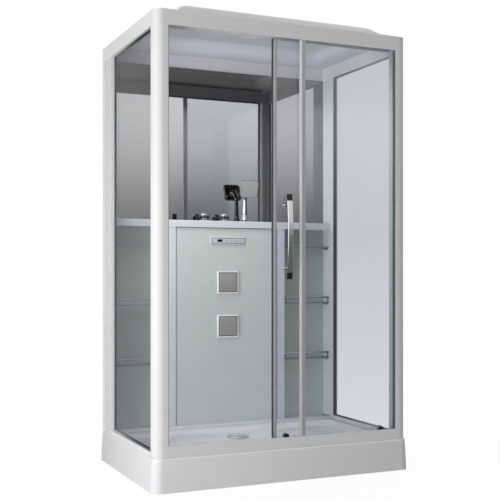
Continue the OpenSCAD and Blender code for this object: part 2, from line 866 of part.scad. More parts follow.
// Brass mixer behind the console: cross bar, two valves, inlets through the back glass, jet pipe and riser.
module mixer_body() {
    jet_tail_end = console_glass_y + jet_tub_d + jet_tail_l;
    pipe_r = 8;
    valve_r = 14;
    neck_r = 8;
    riser_r = 10;
    boss_r = 11;
    stub = 5;                                       // valve neck above the ledge's top face
    riser_top = ledge_top - 12;
    pipe_y = jet_tail_end + pipe_r;
    valve_top = ledge_top - 8;
    color("peru")
    union() {
        rod([hot_x - mixer_overhang, valve_y, mixer_z], "x", mixer_r, cold_x - hot_x + 2*mixer_overhang);
        rod([cold_x + mixer_overhang, valve_y, mixer_z], "x", riser_r, socket_x - cold_x - mixer_overhang);
        rod([socket_x, valve_y, mixer_z - riser_r], "z", riser_r, riser_top - mixer_z + riser_r);
        for (x = [hot_x, cold_x]) {
            rod([x, valve_y, mixer_z], "z", valve_r, valve_top - mixer_z);
            rod([x, valve_y, valve_top], "z", neck_r, ledge_top + stub - valve_top);
            rod([x, valve_y, ledge_top + stub], "z", spindle_r, spindle_l);
            rod([x, valve_y, mixer_z], "y", inlet_r - 1.5, inlet_end - valve_y);
            rod([x, inlet_end - inlet_l, mixer_z], "y", inlet_r, inlet_l);
        }
        rod([0, pipe_y, jet_low - pipe_r], "z", pipe_r, mixer_z - jet_low + pipe_r);
        for (z = [jet_high, jet_low]) rod([0, jet_tail_end, z], "y", boss_r, pipe_r);
    }
}
spindle_r = 4;
spindle_l = 22;

// Cross-handle knob: a turned hub with a domed cap and four spokes with ball ends, bored for its spindle.
module knob(x) {
    base = ledge_top + 2;
    lobe_z = 16;
    lobe_r = 7.7;
    cap_r = 16.4;
    first_turn = 70;
    color("silver")
    translate([x, valve_y, base])
        difference() {
            union() {
                rotate_extrude()
                    polygon([[0, 0], [17, 0], [17.5, 1.5], [14, 4.6], [12, 8], [11.4, 14], [13.4, 23], [cap_r - 0.8, 26],
                             [cap_r, 29], [cap_r - 0.6, 33], [cap_r - 3, 37], [9, 40], [4, 41.3], [0, 41.6]]);
                for (a = [0:90:270])
                    rotate([0, 0, a + first_turn]) {
                        rod([6, 0, lobe_z], "x", 5.3, knob_span/2 - lobe_r - 6);
                        translate([knob_span/2 - lobe_r, 0, lobe_z]) sphere(r = lobe_r);
                    }
            }
            translate([0, 0, -over]) cylinder(r = 9, h = 4 + over);
            cylinder(r = spindle_r + running, h = 3 + spindle_l + seat);
        }
}
module hot_knob() knob(hot_x);
module cold_knob() knob(cold_x);

sleeve_r = 13.9;

module handset_socket() {
    color("silver")
    translate([socket_x, valve_y, 0])
        difference() {
            union() {
                rotate_extrude()
                    polygon([[0, ledge_top], [25, ledge_top], [25, ledge_top + 3], [18, ledge_top + 8], [17, collar_z - seat], [0, collar_z - seat]]);
                translate([0, 0, ledge_top - 12]) cylinder(r = socket_hole_r - 0.5, h = 12);
            }
            translate([0, 0, ledge_top + 2]) cylinder(r = sleeve_r + running, h = collar_z);
        }
}

// Collar that turns in the socket and holds the hand shower's plug end.
module handset_collar() {
    color("silver")
    translate([socket_x, valve_y, 0])
        difference() {
            union() {
                translate([0, 0, ledge_top + 4]) cylinder(r = sleeve_r, h = collar_z - ledge_top);
                translate([0, 0, collar_z]) cylinder(r1 = 17, r2 = 15.5, h = grip_z - seat - collar_z);
            }
            translate([0, 0, ledge_top + 6]) cylinder(r = plug_r + running, h = grip_z - ledge_top);
        }
}

// Hand shower: plug, tapering grip, bent neck and a rounded square head with a nozzle field.
module hand_shower() {
    corner = 18;
    neck_r = 11;
    swell_r = 24;                                   // radius of the neck where it meets the head
    inner_r = grip_r - 2;
    color("gainsboro") {
        translate([socket_x, valve_y, 0])
            rotate_extrude()
                polygon([[0, ledge_top + 6.4], [plug_r, ledge_top + 6.4], [plug_r, grip_z], [grip_r, grip_z],
                         [grip_r, grip_z + 20], [inner_r, neck_z], [0, neck_z]]);
        hull($fn = 24) {
            translate([socket_x, valve_y, neck_z - 1]) cylinder(r = inner_r, h = 1);
            translate([socket_x, valve_y - neck_reach, neck_z + neck_lift]) sphere(r = neck_r);
        }
        hull($fn = 24) {
            translate([socket_x, valve_y - neck_reach, neck_z + neck_lift]) sphere(r = neck_r);
            translate([socket_x, valve_y - head_reach + head_t/2 + 2, head_z])
                rotate([90 + head_tilt, 0, 0]) cylinder(r = swell_r, h = 2);
        }
        translate([socket_x, valve_y - head_reach, head_z])
            rotate([90 + head_tilt, 0, 0])
                translate([0, 0, -head_t/2]) {
                    hull($fn = 32) {
                        linear_extrude(head_t - 5) rounded_rect(head_w, head_h, corner);
                        linear_extrude(head_t - 1) rounded_rect(head_w - 6, head_h - 6, corner - 3);
                        translate([0, 0, -4]) linear_extrude(1) rounded_rect(head_w - 24, head_h - 24, corner - 6);
                    }
                    spray_nozzles(head_w, head_h, head_t - 1);
                }
    }
}

module spray_nozzles(w, h, z) {
    n = 7;
    margin = 15;
    pitch_x = (w - 2*margin)/(n - 1);
    pitch_y = (h - 2*margin)/(n - 1);
    for (i = [0:n-1], k = [0:n-1])
        translate([(i - (n-1)/2)*pitch_x, (k - (n-1)/2)*pitch_y, z - 1])
            cylinder(r = 2, h = 3);
}

// Sliding door pane with its roller and handle holes.
axle_hole_r = 6;
module door_glass() {
    color("lightcyan", 0.3)
    difference() {
        block([door_left + door_seal_w + 3, door_glass_y, door_bottom], [post_in_x - seat, door_glass_y + glass_t, door_top]);
        for (x = wheel_xs, z = [low_wheel_z, top_wheel_z])
            rod([x, door_glass_y - over, z], "y", axle_hole_r, glass_t + 2*over);
        for (z = [handle_z - stud_dz, handle_z + stud_dz])
            rod([handle_x, door_glass_y - over, z], "y", axle_hole_r, glass_t + 2*over);
    }
}

// Leading stile of the door: a slim profile with rounded faces, grooved for glass and seal.
door_stile_d = 13;
module door_stile() {
    x0 = door_left + door_seal_w;
    y0 = door_glass_y + glass_t/2 - door_stile_d/2;
    r = 4;
    color("silver")
    difference() {
        translate([x0 + door_stile_w/2, y0 + door_stile_d/2, door_seal_z[0]])
            linear_extrude(door_seal_z[1] - door_seal_z[0]) rounded_rect(door_stile_w, door_stile_d, r);
        block([x0 + 3, door_glass_y, 0], [x0 + door_stile_w + over, door_glass_y + glass_t, frame_top]);
    }
}

// Dark magnetic seal on the door's leading edge.
module door_seal() {
    color("black")
    block([door_left, door_glass_y - 1.5, door_seal_z[0]],
          [door_left + door_seal_w, door_glass_y + glass_t + 1.5, door_seal_z[1]]);
}

// Bow handle outside on two studs, and two round knobs inside.
handle_t = 8;
handle_rise = 14;
handle_stand = 35;
module door_handle() {
    face = door_glass_y - handle_stand;
    color("silver") {
        translate([handle_x, face, handle_z])
            rotate([0, 90, 0])
                translate([0, 0, -handle_w/2])
                    linear_extrude(handle_w)
                        bow(handle_l, handle_t, handle_rise);
        for (s = [-1, 1]) {
            z = handle_z + s*stud_dz;
            rod([handle_x, face + handle_t - 2, z], "y", 7, door_glass_y - face - handle_t + 2);
            rod([handle_x, door_glass_y - 3, z], "y", 11, 3);
            rod([handle_x, door_glass_y, z], "y", axle_hole_r, glass_t);
            translate([handle_x, door_glass_y + glass_t, z])
                rotate([-90, 0, 0])
                    rotate_extrude()
                        polygon([[0, 0], [12, 0], [12, 3], [8, 6], [7, 12], [10, 18], [12, 24], [10, 28], [0, 29]]);
        }
    }
}

// Side outline of the bow handle: a flat bar on one long arc, with its ends nearer to the glass.
module bow(l, t, rise) {
    r = (l*l/4 + rise*rise)/(2*rise);
    intersection() {
        translate([0, r])
            difference() {
                circle(r, $fn = 720);
                circle(r - t, $fn = 720);
            }
        translate([-l/2, -over]) square([l, rise + t + over]);
    }
}

// Door roller carriers: capped shafts through the door glass, each a turned piece.
module roller_carriers() {
    front = 4;
    flange = 4;
    shaft_end = wheel_w/2 + 1;
    color("dimgray")
    for (x = wheel_xs, z = [low_wheel_z, top_wheel_z])
        translate([x, door_glass_y, z])
            rotate([-90, 0, 0])
                rotate_extrude() {
                    translate([0, -front]) square([11, front]);
                    square([axle_hole_r, glass_t]);
                    translate([0, glass_t]) square([9, track_y - shaft_end - door_glass_y - glass_t]);
                    square([axle_r, track_y - door_glass_y + shaft_end + 2]);
                    translate([0, track_y - door_glass_y + shaft_end]) square([7, 2]);
                }
}

// Grooved wheel with a running bore.
module wheel(x, z) {
    g = bead_r + 0.6;
    color("whitesmoke")
    translate([x, track_y, z])
        rotate([90, 0, 0])
            rotate_extrude()
                difference() {
                    translate([axle_r + running, -wheel_w/2]) square([wheel_r - axle_r - running, wheel_w]);
                    translate([groove_r + g, 0]) circle(g);
                }
}
module top_left_wheel() wheel(wheel_xs[0], top_wheel_z);
module top_right_wheel() wheel(wheel_xs[1], top_wheel_z);
module bottom_left_wheel() wheel(wheel_xs[0], low_wheel_z);
module bottom_right_wheel() wheel(wheel_xs[1], low_wheel_z);

shower_tray();
tray_support_frame();
levelling_feet();
drain_body();
drain_cover();
front_left_post();
front_right_post();
rear_left_post();
rear_right_post();
post_caps();
front_top_rail();
left_top_rail();
right_top_rail();
rear_top_rail();
front_bottom_rail();
side_bottom_rails();
rear_bottom_rail();
left_filler_panel();
right_filler_panel();
left_side_glass();
right_side_glass();
side_gaskets();
fixed_glass();
fixed_seals();
fixed_stile();
roof();
ceiling_lamp();
mirror_glass();  // mirror
lower_back_glass();
ledge();
console_frame();
console_glass();
glass_shelves();
shelf_rails();
shelf_clips();
control_panel();
panel_display();
control_box();
light_button();
fan_button();
radio_button();
power_button();
jet_housings();
upper_jet_plate();
lower_jet_plate();
mixer_body();
hot_knob();
cold_knob();
handset_socket();
handset_collar();
hand_shower();
door_glass();
door_stile();
door_seal();
door_handle();
roller_carriers();
top_left_wheel();
top_right_wheel();
bottom_left_wheel();
bottom_right_wheel();
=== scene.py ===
# %% [markdown]
# # A rectangular shower cabin with a sliding door
# The cabin is a floor tray, four corner posts with rails between them, glass on three sides, a mirrored
# back wall and a moulded roof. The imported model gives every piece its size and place. This lesson gives
# each piece its finish, and builds again the pieces whose curves are softer than the model's.

# %% Load the frame
import math

import bmesh
import bpy
from mathutils import Matrix, Vector


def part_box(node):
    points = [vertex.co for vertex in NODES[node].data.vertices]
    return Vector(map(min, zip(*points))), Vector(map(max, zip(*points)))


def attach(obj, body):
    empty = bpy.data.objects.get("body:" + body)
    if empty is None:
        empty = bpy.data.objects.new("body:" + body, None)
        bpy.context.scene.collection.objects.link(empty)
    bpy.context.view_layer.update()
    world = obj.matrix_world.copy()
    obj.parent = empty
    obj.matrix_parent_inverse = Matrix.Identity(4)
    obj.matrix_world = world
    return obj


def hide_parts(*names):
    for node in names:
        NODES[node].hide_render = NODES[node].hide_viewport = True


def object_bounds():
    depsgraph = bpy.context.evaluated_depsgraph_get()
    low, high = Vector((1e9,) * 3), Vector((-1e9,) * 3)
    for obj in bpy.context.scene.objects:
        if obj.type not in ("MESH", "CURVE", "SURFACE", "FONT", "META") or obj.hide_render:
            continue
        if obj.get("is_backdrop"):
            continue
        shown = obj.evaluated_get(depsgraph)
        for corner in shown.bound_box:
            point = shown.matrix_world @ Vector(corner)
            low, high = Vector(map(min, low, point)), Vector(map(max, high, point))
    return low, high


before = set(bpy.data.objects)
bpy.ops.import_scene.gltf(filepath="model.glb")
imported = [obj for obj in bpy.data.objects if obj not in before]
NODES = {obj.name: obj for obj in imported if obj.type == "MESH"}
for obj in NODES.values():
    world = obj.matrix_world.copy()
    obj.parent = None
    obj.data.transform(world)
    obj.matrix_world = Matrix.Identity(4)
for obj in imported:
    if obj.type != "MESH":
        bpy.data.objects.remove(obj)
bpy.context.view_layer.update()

MM = 0.001

# %% [markdown]
# ## The camera
# The picture was taken level, from the left of the door, with a long lens. A level camera keeps every
# post upright, and a small shift of the film moves the horizon without tilting the lens.

# %% Place the camera
CAMERA_PLACE = (-1.9107, -4.3963, 0.9529)
CAMERA_TURN = math.radians(-24.92)
SENSOR = 36.0
FOCAL_PX = 957.89
IMAGE_PX = 500.0
CENTRE_PX = (274.13, 273.18)

camera_data = bpy.data.cameras.new("camera")
camera_data.sensor_width = SENSOR
camera_data.lens = SENSOR * FOCAL_PX / IMAGE_PX
camera_data.shift_x = (IMAGE_PX / 2 - CENTRE_PX[0]) / IMAGE_PX
camera_data.shift_y = (CENTRE_PX[1] - IMAGE_PX / 2) / IMAGE_PX
camera = bpy.data.objects.new("camera", camera_data)
camera.location = CAMERA_PLACE
camera.rotation_euler = (math.pi / 2, 0, CAMERA_TURN)
bpy.context.scene.collection.objects.link(camera)
bpy.context.scene.camera = camera
print("lens", round(camera_data.lens, 1), "mm")

# %% [markdown]
# ## Helpers for nodes and finishes
# Materials, the world and the repeating trees are all made of nodes. Each helper below adds one node, or
# one small group of them, and returns the socket that carries its result. What is handed to it may be a
# plain number or such a socket, and `feed` sets or links it.

# %% Add and feed nodes
def add_node(tree, kind, **values):
    node = tree.nodes.new(kind)
    for name, value in values.items():
        if name in node.inputs:
            node.inputs[name].default_value = value
        else:
            setattr(node, name, value)
    return node


def feed(tree, sockets, *values):
    for socket, value in zip(sockets, values):
        if isinstance(value, bpy.types.NodeSocket):
            tree.links.new(value, socket)
        else:
            socket.default_value = value


def work_out(tree, operation, first, second=0.0):
    node = add_node(tree, "ShaderNodeMath", operation=operation)
    feed(tree, node.inputs, first, second)
    return node.outputs["Value"]


def rescale(tree, source, start, end, low=0.0, high=1.0, curve="LINEAR"):
    node = add_node(tree, "ShaderNodeMapRange", interpolation_type=curve)
    feed(tree, node.inputs, source, start, end, low, high)
    return node.outputs["Result"]


def mix_colors(tree, share, first, second):
    node = add_node(tree, "ShaderNodeMix", data_type="RGBA")
    feed(tree, (node.inputs["Factor"], node.inputs["A"], node.inputs["B"]), share, first, second)
    return node.outputs["Result"]


def mix_shaders(tree, share, first, second):
    node = add_node(tree, "ShaderNodeMixShader")
    feed(tree, node.inputs, share, first, second)
    return node.outputs["Shader"]


def parts_of(tree, coordinate):
    place = add_node(tree, "ShaderNodeTexCoord")
    parts = add_node(tree, "ShaderNodeSeparateXYZ")
    feed(tree, parts.inputs, place.outputs[coordinate])
    return parts.outputs


# %% [markdown]
# A finish is one Principled shader. Numbers that are the same all over sit on its own sockets. What
# varies over the surface, such as a faint mottle, a change of gloss or a relief, comes from noise that
# reads Object coordinates, so it has a real scale in metres and stays put on the piece. An overlay lays
# a second colour over the mottle, for example a painted shadow in a joint. The big mirror shows frame,
# ceiling, filler panels and chrome from the side that a studio leaves dark, while the even fill light
# here reaches it, so those finishes get painted shade: a darker overlay for rays that come off a mirror.

# %% Make a finish and vary it
NOISE_LOW, NOISE_HIGH = 0.3, 0.7


def shader_of(material):
    return material.node_tree.nodes["Principled BSDF"]


def finish(name, color, roughness, **sockets):
    material = bpy.data.materials.new(name)
    material.use_nodes = True
    shader = shader_of(material)
    shader.inputs["Base Color"].default_value = (*color, 1)
    shader.inputs["Roughness"].default_value = roughness
    for socket, value in sockets.items():
        shader.inputs[socket.replace("_", " ")].default_value = value
    material.diffuse_color = (*color, 1)
    return material


def noise(tree, scale, detail):
    place = add_node(tree, "ShaderNodeTexCoord")
    texture = add_node(tree, "ShaderNodeTexNoise", Scale=scale, Detail=detail)
    tree.links.new(place.outputs["Object"], texture.inputs["Vector"])
    return texture.outputs["Fac"]


def mottled(name, color, roughness, other, scale, **sockets):
    material = finish(name, color, roughness, **sockets)
    tree = material.node_tree
    share = rescale(tree, noise(tree, scale, 3.0), NOISE_LOW, NOISE_HIGH)
    mix = mix_colors(tree, share, (*color, 1), (*other, 1))
    tree.links.new(mix, shader_of(material).inputs["Base Color"])
    return material


def vary_gloss(material, low, high, scale):
    tree = material.node_tree
    gloss = rescale(tree, noise(tree, scale, 2.0), NOISE_LOW, NOISE_HIGH, low, high)
    tree.links.new(gloss, shader_of(material).inputs["Roughness"])


def relief(material, scale, depth):
    tree = material.node_tree
    bump = add_node(tree, "ShaderNodeBump", Strength=1.0, Distance=depth)
    tree.links.new(noise(tree, scale, 2.0), bump.inputs["Height"])
    tree.links.new(bump.outputs["Normal"], shader_of(material).inputs["Normal"])


# Each overlay in this script lays painted shade: a darker colour where shade falls, or for reflections.
def overlay(material, share, color):
    tree = material.node_tree
    base = shader_of(material).inputs["Base Color"]
    under = base.links[0].from_socket
    tree.links.new(mix_colors(tree, share, under, (*color, 1)), base)


# Painted shade: rays that come off a mirror see the piece in a darker base colour.
def paint_shade_in_mirrors(material, color):
    path = add_node(material.node_tree, "ShaderNodeLightPath")
    overlay(material, path.outputs["Is Glossy Ray"], color)


def dress(material, *names):
    for name in names:
        for slot in NODES[name].material_slots:
            slot.material = material
    print(material.name, "on", ", ".join(names))


# %% [markdown]
# ## Painted frame and moulded plastics
# Posts and rails are aluminium with a white powder coat, which dries with a fine orange peel. The tray
# and the roof are vacuum-formed sheet, smoother and glossier, with slow waves in the surface. The basin
# and the ceiling look cooler and brighter, because the inside throws light back at them. So each sheet
# gets a second, lighter and bluer finish there, face by face, once it is built: painted light.

# %% Frame, tray and roof
powder_coat = mottled("powder_coat", (0.73, 0.73, 0.735), 0.38, (0.71, 0.71, 0.715), 14)
relief(powder_coat, 900, 0.00004)
paint_shade_in_mirrors(powder_coat, (0.21, 0.21, 0.21))
tray_acrylic = mottled("tray_acrylic", (0.78, 0.78, 0.80), 0.16, (0.755, 0.755, 0.78), 5, Coat_Weight=0.4)
relief(tray_acrylic, 9, 0.0004)
# Painted light: the basin and the ceiling finishes are lighter, bluer copies of the tray and roof sheets.
basin_acrylic = mottled("basin_acrylic", (0.85, 0.855, 0.90), 0.1, (0.83, 0.835, 0.885), 5,
                        Coat_Weight=0.8, Coat_Roughness=0.05)
relief(basin_acrylic, 9, 0.0003)
roof_plastic = mottled("roof_plastic", (0.73, 0.73, 0.75), 0.2, (0.71, 0.71, 0.732), 4, Coat_Weight=0.3)
relief(roof_plastic, 8, 0.0002)
ceiling_plastic = mottled("ceiling_plastic", (0.80, 0.81, 0.90), 0.25, (0.77, 0.785, 0.875), 4,
                          Coat_Weight=0.2)
relief(ceiling_plastic, 8, 0.0002)
paint_shade_in_mirrors(ceiling_plastic, (0.33, 0.33, 0.325))
filler_plastic = mottled("filler_plastic", (0.69, 0.72, 0.725), 0.2, (0.665, 0.695, 0.70), 14)
paint_shade_in_mirrors(filler_plastic, (0.11, 0.11, 0.10))
dress(powder_coat, "front_left_post", "front_right_post", "rear_left_post", "rear_right_post",
      "front_top_rail", "left_top_rail", "right_top_rail", "rear_top_rail", "front_bottom_rail",
      "side_bottom_rails", "rear_bottom_rail")
dress(filler_plastic, "left_filler_panel", "right_filler_panel")

# %% Ledge, caps and buttons
white_plastic = mottled("white_plastic", (0.80, 0.80, 0.81), 0.25, (0.77, 0.77, 0.785), 30)
vary_gloss(white_plastic, 0.2, 0.32, 40)
dress(white_plastic, "post_caps", "ceiling_lamp", "drain_body")
ledge_white = mottled("ledge_white", (0.72, 0.745, 0.80), 0.28, (0.70, 0.725, 0.785), 12)
relief(ledge_white, 700, 0.00003)
dress(ledge_white, "ledge", "console_frame")
button_grey = mottled("button_grey", (0.47, 0.51, 0.55), 0.35, (0.44, 0.48, 0.52), 90)
dress(button_grey, "light_button", "fan_button", "radio_button", "power_button")

# %% [markdown]
# ## Glass
# A flat pane bends nothing that is seen through it. So its shader is clear film with a mirror laid over
# it, mixed by the angle of view: the pane is nearly invisible face on and turns into a mirror at a
# shallow angle. Through its cut edges one looks along the glass, so there it is deep green.

# %% Clear panes
FILM, EDGE_GREEN, CLEAR_TINT = (0.94, 0.95, 0.97), (0.17, 0.30, 0.27), (0.93, 0.934, 0.948)
TINT_LOW, TINT_HIGH = 0.2, 2.0


# Painted shade: the colour runs from a lighter one low down to a darker one high up.
def paint_shade_by_height(material, socket, low_tint, high_tint):
    tree = material.node_tree
    height = rescale(tree, parts_of(tree, "Object")["Z"], TINT_LOW, TINT_HIGH)
    tree.links.new(mix_colors(tree, height, (*low_tint, 1), (*high_tint, 1)), socket)


def pane(name, tint, across, least=0.04, most=0.9, low_tint=None):
    material = finish(name, FILM, 0.02, Metallic=1.0)
    tree = material.node_tree
    clear = add_node(tree, "ShaderNodeBsdfTransparent", Color=(*tint, 1))
    if low_tint:
        paint_shade_by_height(material, clear.inputs["Color"], low_tint, tint)
    facing = add_node(tree, "ShaderNodeLayerWeight", Blend=0.5)
    steep = work_out(tree, "POWER", facing.outputs["Facing"], 5.0)
    share = rescale(tree, steep, 0.0, 1.0, least, most)
    film = mix_shaders(tree, share, clear.outputs["BSDF"], shader_of(material).outputs["BSDF"])
    edge = add_node(tree, "ShaderNodeBsdfPrincipled", Roughness=0.15)
    edge.inputs["Base Color"].default_value = (*EDGE_GREEN, 1)
    turned_away = work_out(tree, "ABSOLUTE", parts_of(tree, "Normal")[across])
    is_edge = work_out(tree, "LESS_THAN", turned_away, 0.5)
    whole = mix_shaders(tree, is_edge, film, edge.outputs["BSDF"])
    tree.links.new(whole, tree.nodes["Material Output"].inputs["Surface"])
    return material


dress(pane("left_pane", CLEAR_TINT, "X"), "left_side_glass")
# Painted light and shade: the right pane is tinted darker than the others, nearly clear low down and darker
# towards the top.
dress(pane("right_pane", (0.815, 0.80, 0.825), "X", 0.0, 0.25, (1.0, 0.987, 0.98)), "right_side_glass")
dress(pane("door_pane", CLEAR_TINT, "Y"), "door_glass")
dress(pane("fixed_pane", (0.938, 0.962, 0.966), "Y"), "fixed_glass")
dress(pane("shelf_pane", (0.90, 0.935, 0.925), "Z"), "glass_shelves")

# %% [markdown]
# The console glass is frosted, and nothing shows through it, so it is a plain glossy coat over a pale
# green. A thin dark line of painted shadow runs along its sides and its top, where it goes into its
# frame: a comparison of Object coordinates with the glass's own box finds that strip. The back glass is
# painted behind and gets darker towards the top, which is painted shade. The mirror is bare metal without
# noise in its gloss, which would blur it.

# %% Frosted glass, back glass and mirror
SEAT, JOINT_SHADOW = 0.003, 0.0045
frosted_glass = mottled("frosted_glass", (0.635, 0.715, 0.685), 0.22, (0.615, 0.695, 0.67), 6,
                        Coat_Weight=0.6, Coat_Roughness=0.03)
glass_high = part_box("console_glass")[1]
tree = frosted_glass.node_tree
place = parts_of(tree, "Object")
# Painted shadow: a thin darker strip at the glass's sides and top.
sideways = work_out(tree, "ABSOLUTE", place["X"])
beside = work_out(tree, "GREATER_THAN", sideways, glass_high.x - SEAT - JOINT_SHADOW)
above = work_out(tree, "GREATER_THAN", place["Z"], glass_high.z - JOINT_SHADOW)
overlay(frosted_glass, work_out(tree, "MAXIMUM", beside, above), (0.22, 0.25, 0.27))
dress(frosted_glass, "console_glass")
back_glass = finish("back_glass", (0.45, 0.51, 0.485), 0.12, Coat_Weight=0.8, Coat_Roughness=0.03)
back_base = shader_of(back_glass).inputs["Base Color"]
# Painted shade: the back glass gets darker towards the top.
paint_shade_by_height(back_glass, back_base, (0.62, 0.70, 0.66), (0.26, 0.30, 0.265))
vary_gloss(back_glass, 0.09, 0.16, 6)
dress(back_glass, "lower_back_glass")
silvering = mottled("silvering", (0.66, 0.656, 0.656), 0.012, (0.65, 0.646, 0.646), 3, Metallic=1.0)
dress(silvering, "mirror")

# %% [markdown]
# ## Metal, rubber and plastics
# Chrome is a perfect mirror that is never quite even: its roughness drifts a little with wiping. The
# smaller fittings stand in front of the mirror and look darker than the bright ones, so their chrome is a
# darker copy, which is painted shade. Anodised bars are only half metallic, because the clear oxide on
# them scatters light.

# %% Metals
chrome = mottled("chrome", (0.78, 0.79, 0.80), 0.06, (0.75, 0.76, 0.77), 60, Metallic=1.0)
vary_gloss(chrome, 0.04, 0.1, 60)
paint_shade_in_mirrors(chrome, (0.12, 0.12, 0.125))
dress(chrome, "shelf_clips")
# Painted shade: a darker copy of the chrome for the smaller fittings.
dark_chrome = mottled("dark_chrome", (0.40, 0.41, 0.42), 0.08, (0.38, 0.39, 0.40), 60, Metallic=1.0)
vary_gloss(dark_chrome, 0.06, 0.14, 60)
paint_shade_in_mirrors(dark_chrome, (0.10, 0.10, 0.105))
dress(dark_chrome, "shelf_rails", "handset_socket", "handset_collar")
anodised = mottled("anodised", (0.42, 0.42, 0.425), 0.4, (0.39, 0.39, 0.395), 60, Metallic=0.2)
vary_gloss(anodised, 0.34, 0.44, 90)
dress(anodised, "door_stile")
brass = mottled("brass", (0.66, 0.50, 0.26), 0.3, (0.55, 0.41, 0.22), 40, Metallic=1.0)
dress(brass, "mixer_body")
primer = mottled("primer", (0.24, 0.25, 0.27), 0.5, (0.19, 0.20, 0.22), 18)
dress(primer, "tray_support_frame", "levelling_feet")

# %% [markdown]
# Seals are soft and matt, with a fine grain. The gaskets of the side panes are one node on both sides.
# They are painted pale at the left rear and the right front, where light falls on them, and an overlay by
# the product of X and Y keeps the other two ends dark: painted light and shade.

# %% Seals
LIT_UNTIL, SHADED_FROM = -0.1, 0.08
rubber = mottled("rubber", (0.035, 0.038, 0.042), 0.55, (0.05, 0.053, 0.057), 50)
relief(rubber, 600, 0.00006)
dress(rubber, "door_seal")
seal_grey = mottled("seal_grey", (0.10, 0.105, 0.11), 0.5, (0.12, 0.125, 0.13), 50)
relief(seal_grey, 600, 0.00006)
dress(seal_grey, "fixed_seals")
bleached_seal = mottled("bleached_seal", (0.36, 0.365, 0.37), 0.5, (0.33, 0.335, 0.34), 50)
relief(bleached_seal, 600, 0.00006)
tree = bleached_seal.node_tree
place = parts_of(tree, "Object")
product = work_out(tree, "MULTIPLY", place["X"], place["Y"])
# Painted light and shade: pale gaskets at two ends, dark at the other two.
overlay(bleached_seal, rescale(tree, product, LIT_UNTIL, SHADED_FROM), (0.045, 0.05, 0.055))
dress(bleached_seal, "side_gaskets")

# %% Dark and pale plastics
display_black = mottled("display_black", (0.012, 0.012, 0.016), 0.08, (0.02, 0.02, 0.026), 60,
                        Coat_Weight=0.6)
dress(display_black, "panel_display")
black_plastic = mottled("black_plastic", (0.014, 0.014, 0.016), 0.4, (0.022, 0.022, 0.024), 70,
                        Specular_IOR_Level=0.2)
dress(black_plastic, "control_box", "roller_carriers")
nylon = mottled("nylon", (0.62, 0.61, 0.58), 0.42, (0.56, 0.55, 0.52), 90)
dress(nylon, "top_left_wheel", "top_right_wheel", "bottom_left_wheel", "bottom_right_wheel")

# %% [markdown]
# ## Building skins
# Most moulded pieces here are a stack of rounded rectangles. The size and height of each ring are easy to
# read off the real piece, and a skin stretched over the rings gives smooth walls with true fillets.

# %% Rings, skins and pieces
DOUBLES = 1e-6


def rounded_ring(half_x, y_low, y_high, radius, z, steps=10):
    points = []
    for side_x, side_y, start in ((1, -1, -90), (1, 1, 0), (-1, 1, 90), (-1, -1, 180)):
        middle_x = side_x * (half_x - radius)
        middle_y = y_high - radius if side_y > 0 else y_low + radius
        for k in range(steps + 1):
            angle = math.radians(start + 90 * k / steps)
            x = middle_x + radius * math.cos(angle)
            y = middle_y + radius * math.sin(angle)
            points.append(Vector((x, y, z)) * MM)
    return points


def round_ring(x, y, radius, z, like):
    points = []
    for point in like:
        direction = Vector((point.x - x * MM, point.y - y * MM)).normalized()
        points.append(Vector((x + radius * direction.x, y + radius * direction.y, z)) * MM)
    return points


def skin_faces(ring_count, size, closed, capped):
    faces = []
    for j in range(ring_count if closed else ring_count - 1):
        for k in range(size):
            a, b = j * size + k, j * size + (k + 1) % size
            c, d = (b + size) % (ring_count * size), (a + size) % (ring_count * size)
            faces.append((a, b, c, d))
    if capped:
        faces.append(tuple(range(size - 1, -1, -1)))
        faces.append(tuple(range((ring_count - 1) * size, ring_count * size)))
    return faces


def skin(name, rings, material, closed=False, angle=35):
    mesh = bpy.data.meshes.new(name)
    points = [tuple(point) for ring in rings for point in ring]
    mesh.from_pydata(points, [], skin_faces(len(rings), len(rings[0]), closed, not closed))
    work = bmesh.new()
    work.from_mesh(mesh)
    bmesh.ops.remove_doubles(work, verts=work.verts, dist=DOUBLES)
    bmesh.ops.recalc_face_normals(work, faces=work.faces)
    work.to_mesh(mesh)
    work.free()
    mesh.shade_smooth()
    mesh.set_sharp_from_angle(angle=math.radians(angle))
    mesh.materials.append(material)
    piece = bpy.data.objects.new(name, mesh)
    bpy.context.scene.collection.objects.link(piece)
    return piece


def middle_of(name):
    return [(low + high) / 2 / MM for low, high in zip(*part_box(name))]


def place_piece(piece, body, slot_name, *nodes):
    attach(piece, body)
    if nodes:
        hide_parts(*nodes)
    print(piece.name, len(piece.data.polygons), "faces on", body)


def join(first, *others):
    with bpy.context.temp_override(active_object=first, selected_editable_objects=[first, *others]):
        bpy.ops.object.join()
    return first


# %% [markdown]
# A few measured rows would give a skin with visible bands. A Catmull-Rom curve goes through every row and
# bends softly between them, so it adds the rows in between.

# %% Rows on a smooth curve
def smooth_rows(rows, per_span=5):
    padded = [rows[0]] + rows + [rows[-1]]
    result = []
    for a, b, c, d in zip(padded, padded[1:], padded[2:], padded[3:]):
        for k in range(per_span):
            t = k / per_span
            result.append([0.5 * (2 * q + (r - p) * t + (2 * p - 5 * q + 4 * r - s) * t * t
                                  + (3 * q - p - 3 * r + s) * t ** 3) for p, q, r, s in zip(a, b, c, d)])
    return result + [rows[-1]]


# %% [markdown]
# ## The roof
# The roof is one vacuum-formed sheet: a thin flange on the rails, a cove that rises steeply and then
# runs flat, and a shallow crown. The cove's rows give its height and its insets at the front, the sides
# and the back, with the corner radius. The underside repeats the outside, one sheet thickness in, and its
# faces take the ceiling's lighter finish, which is painted light.

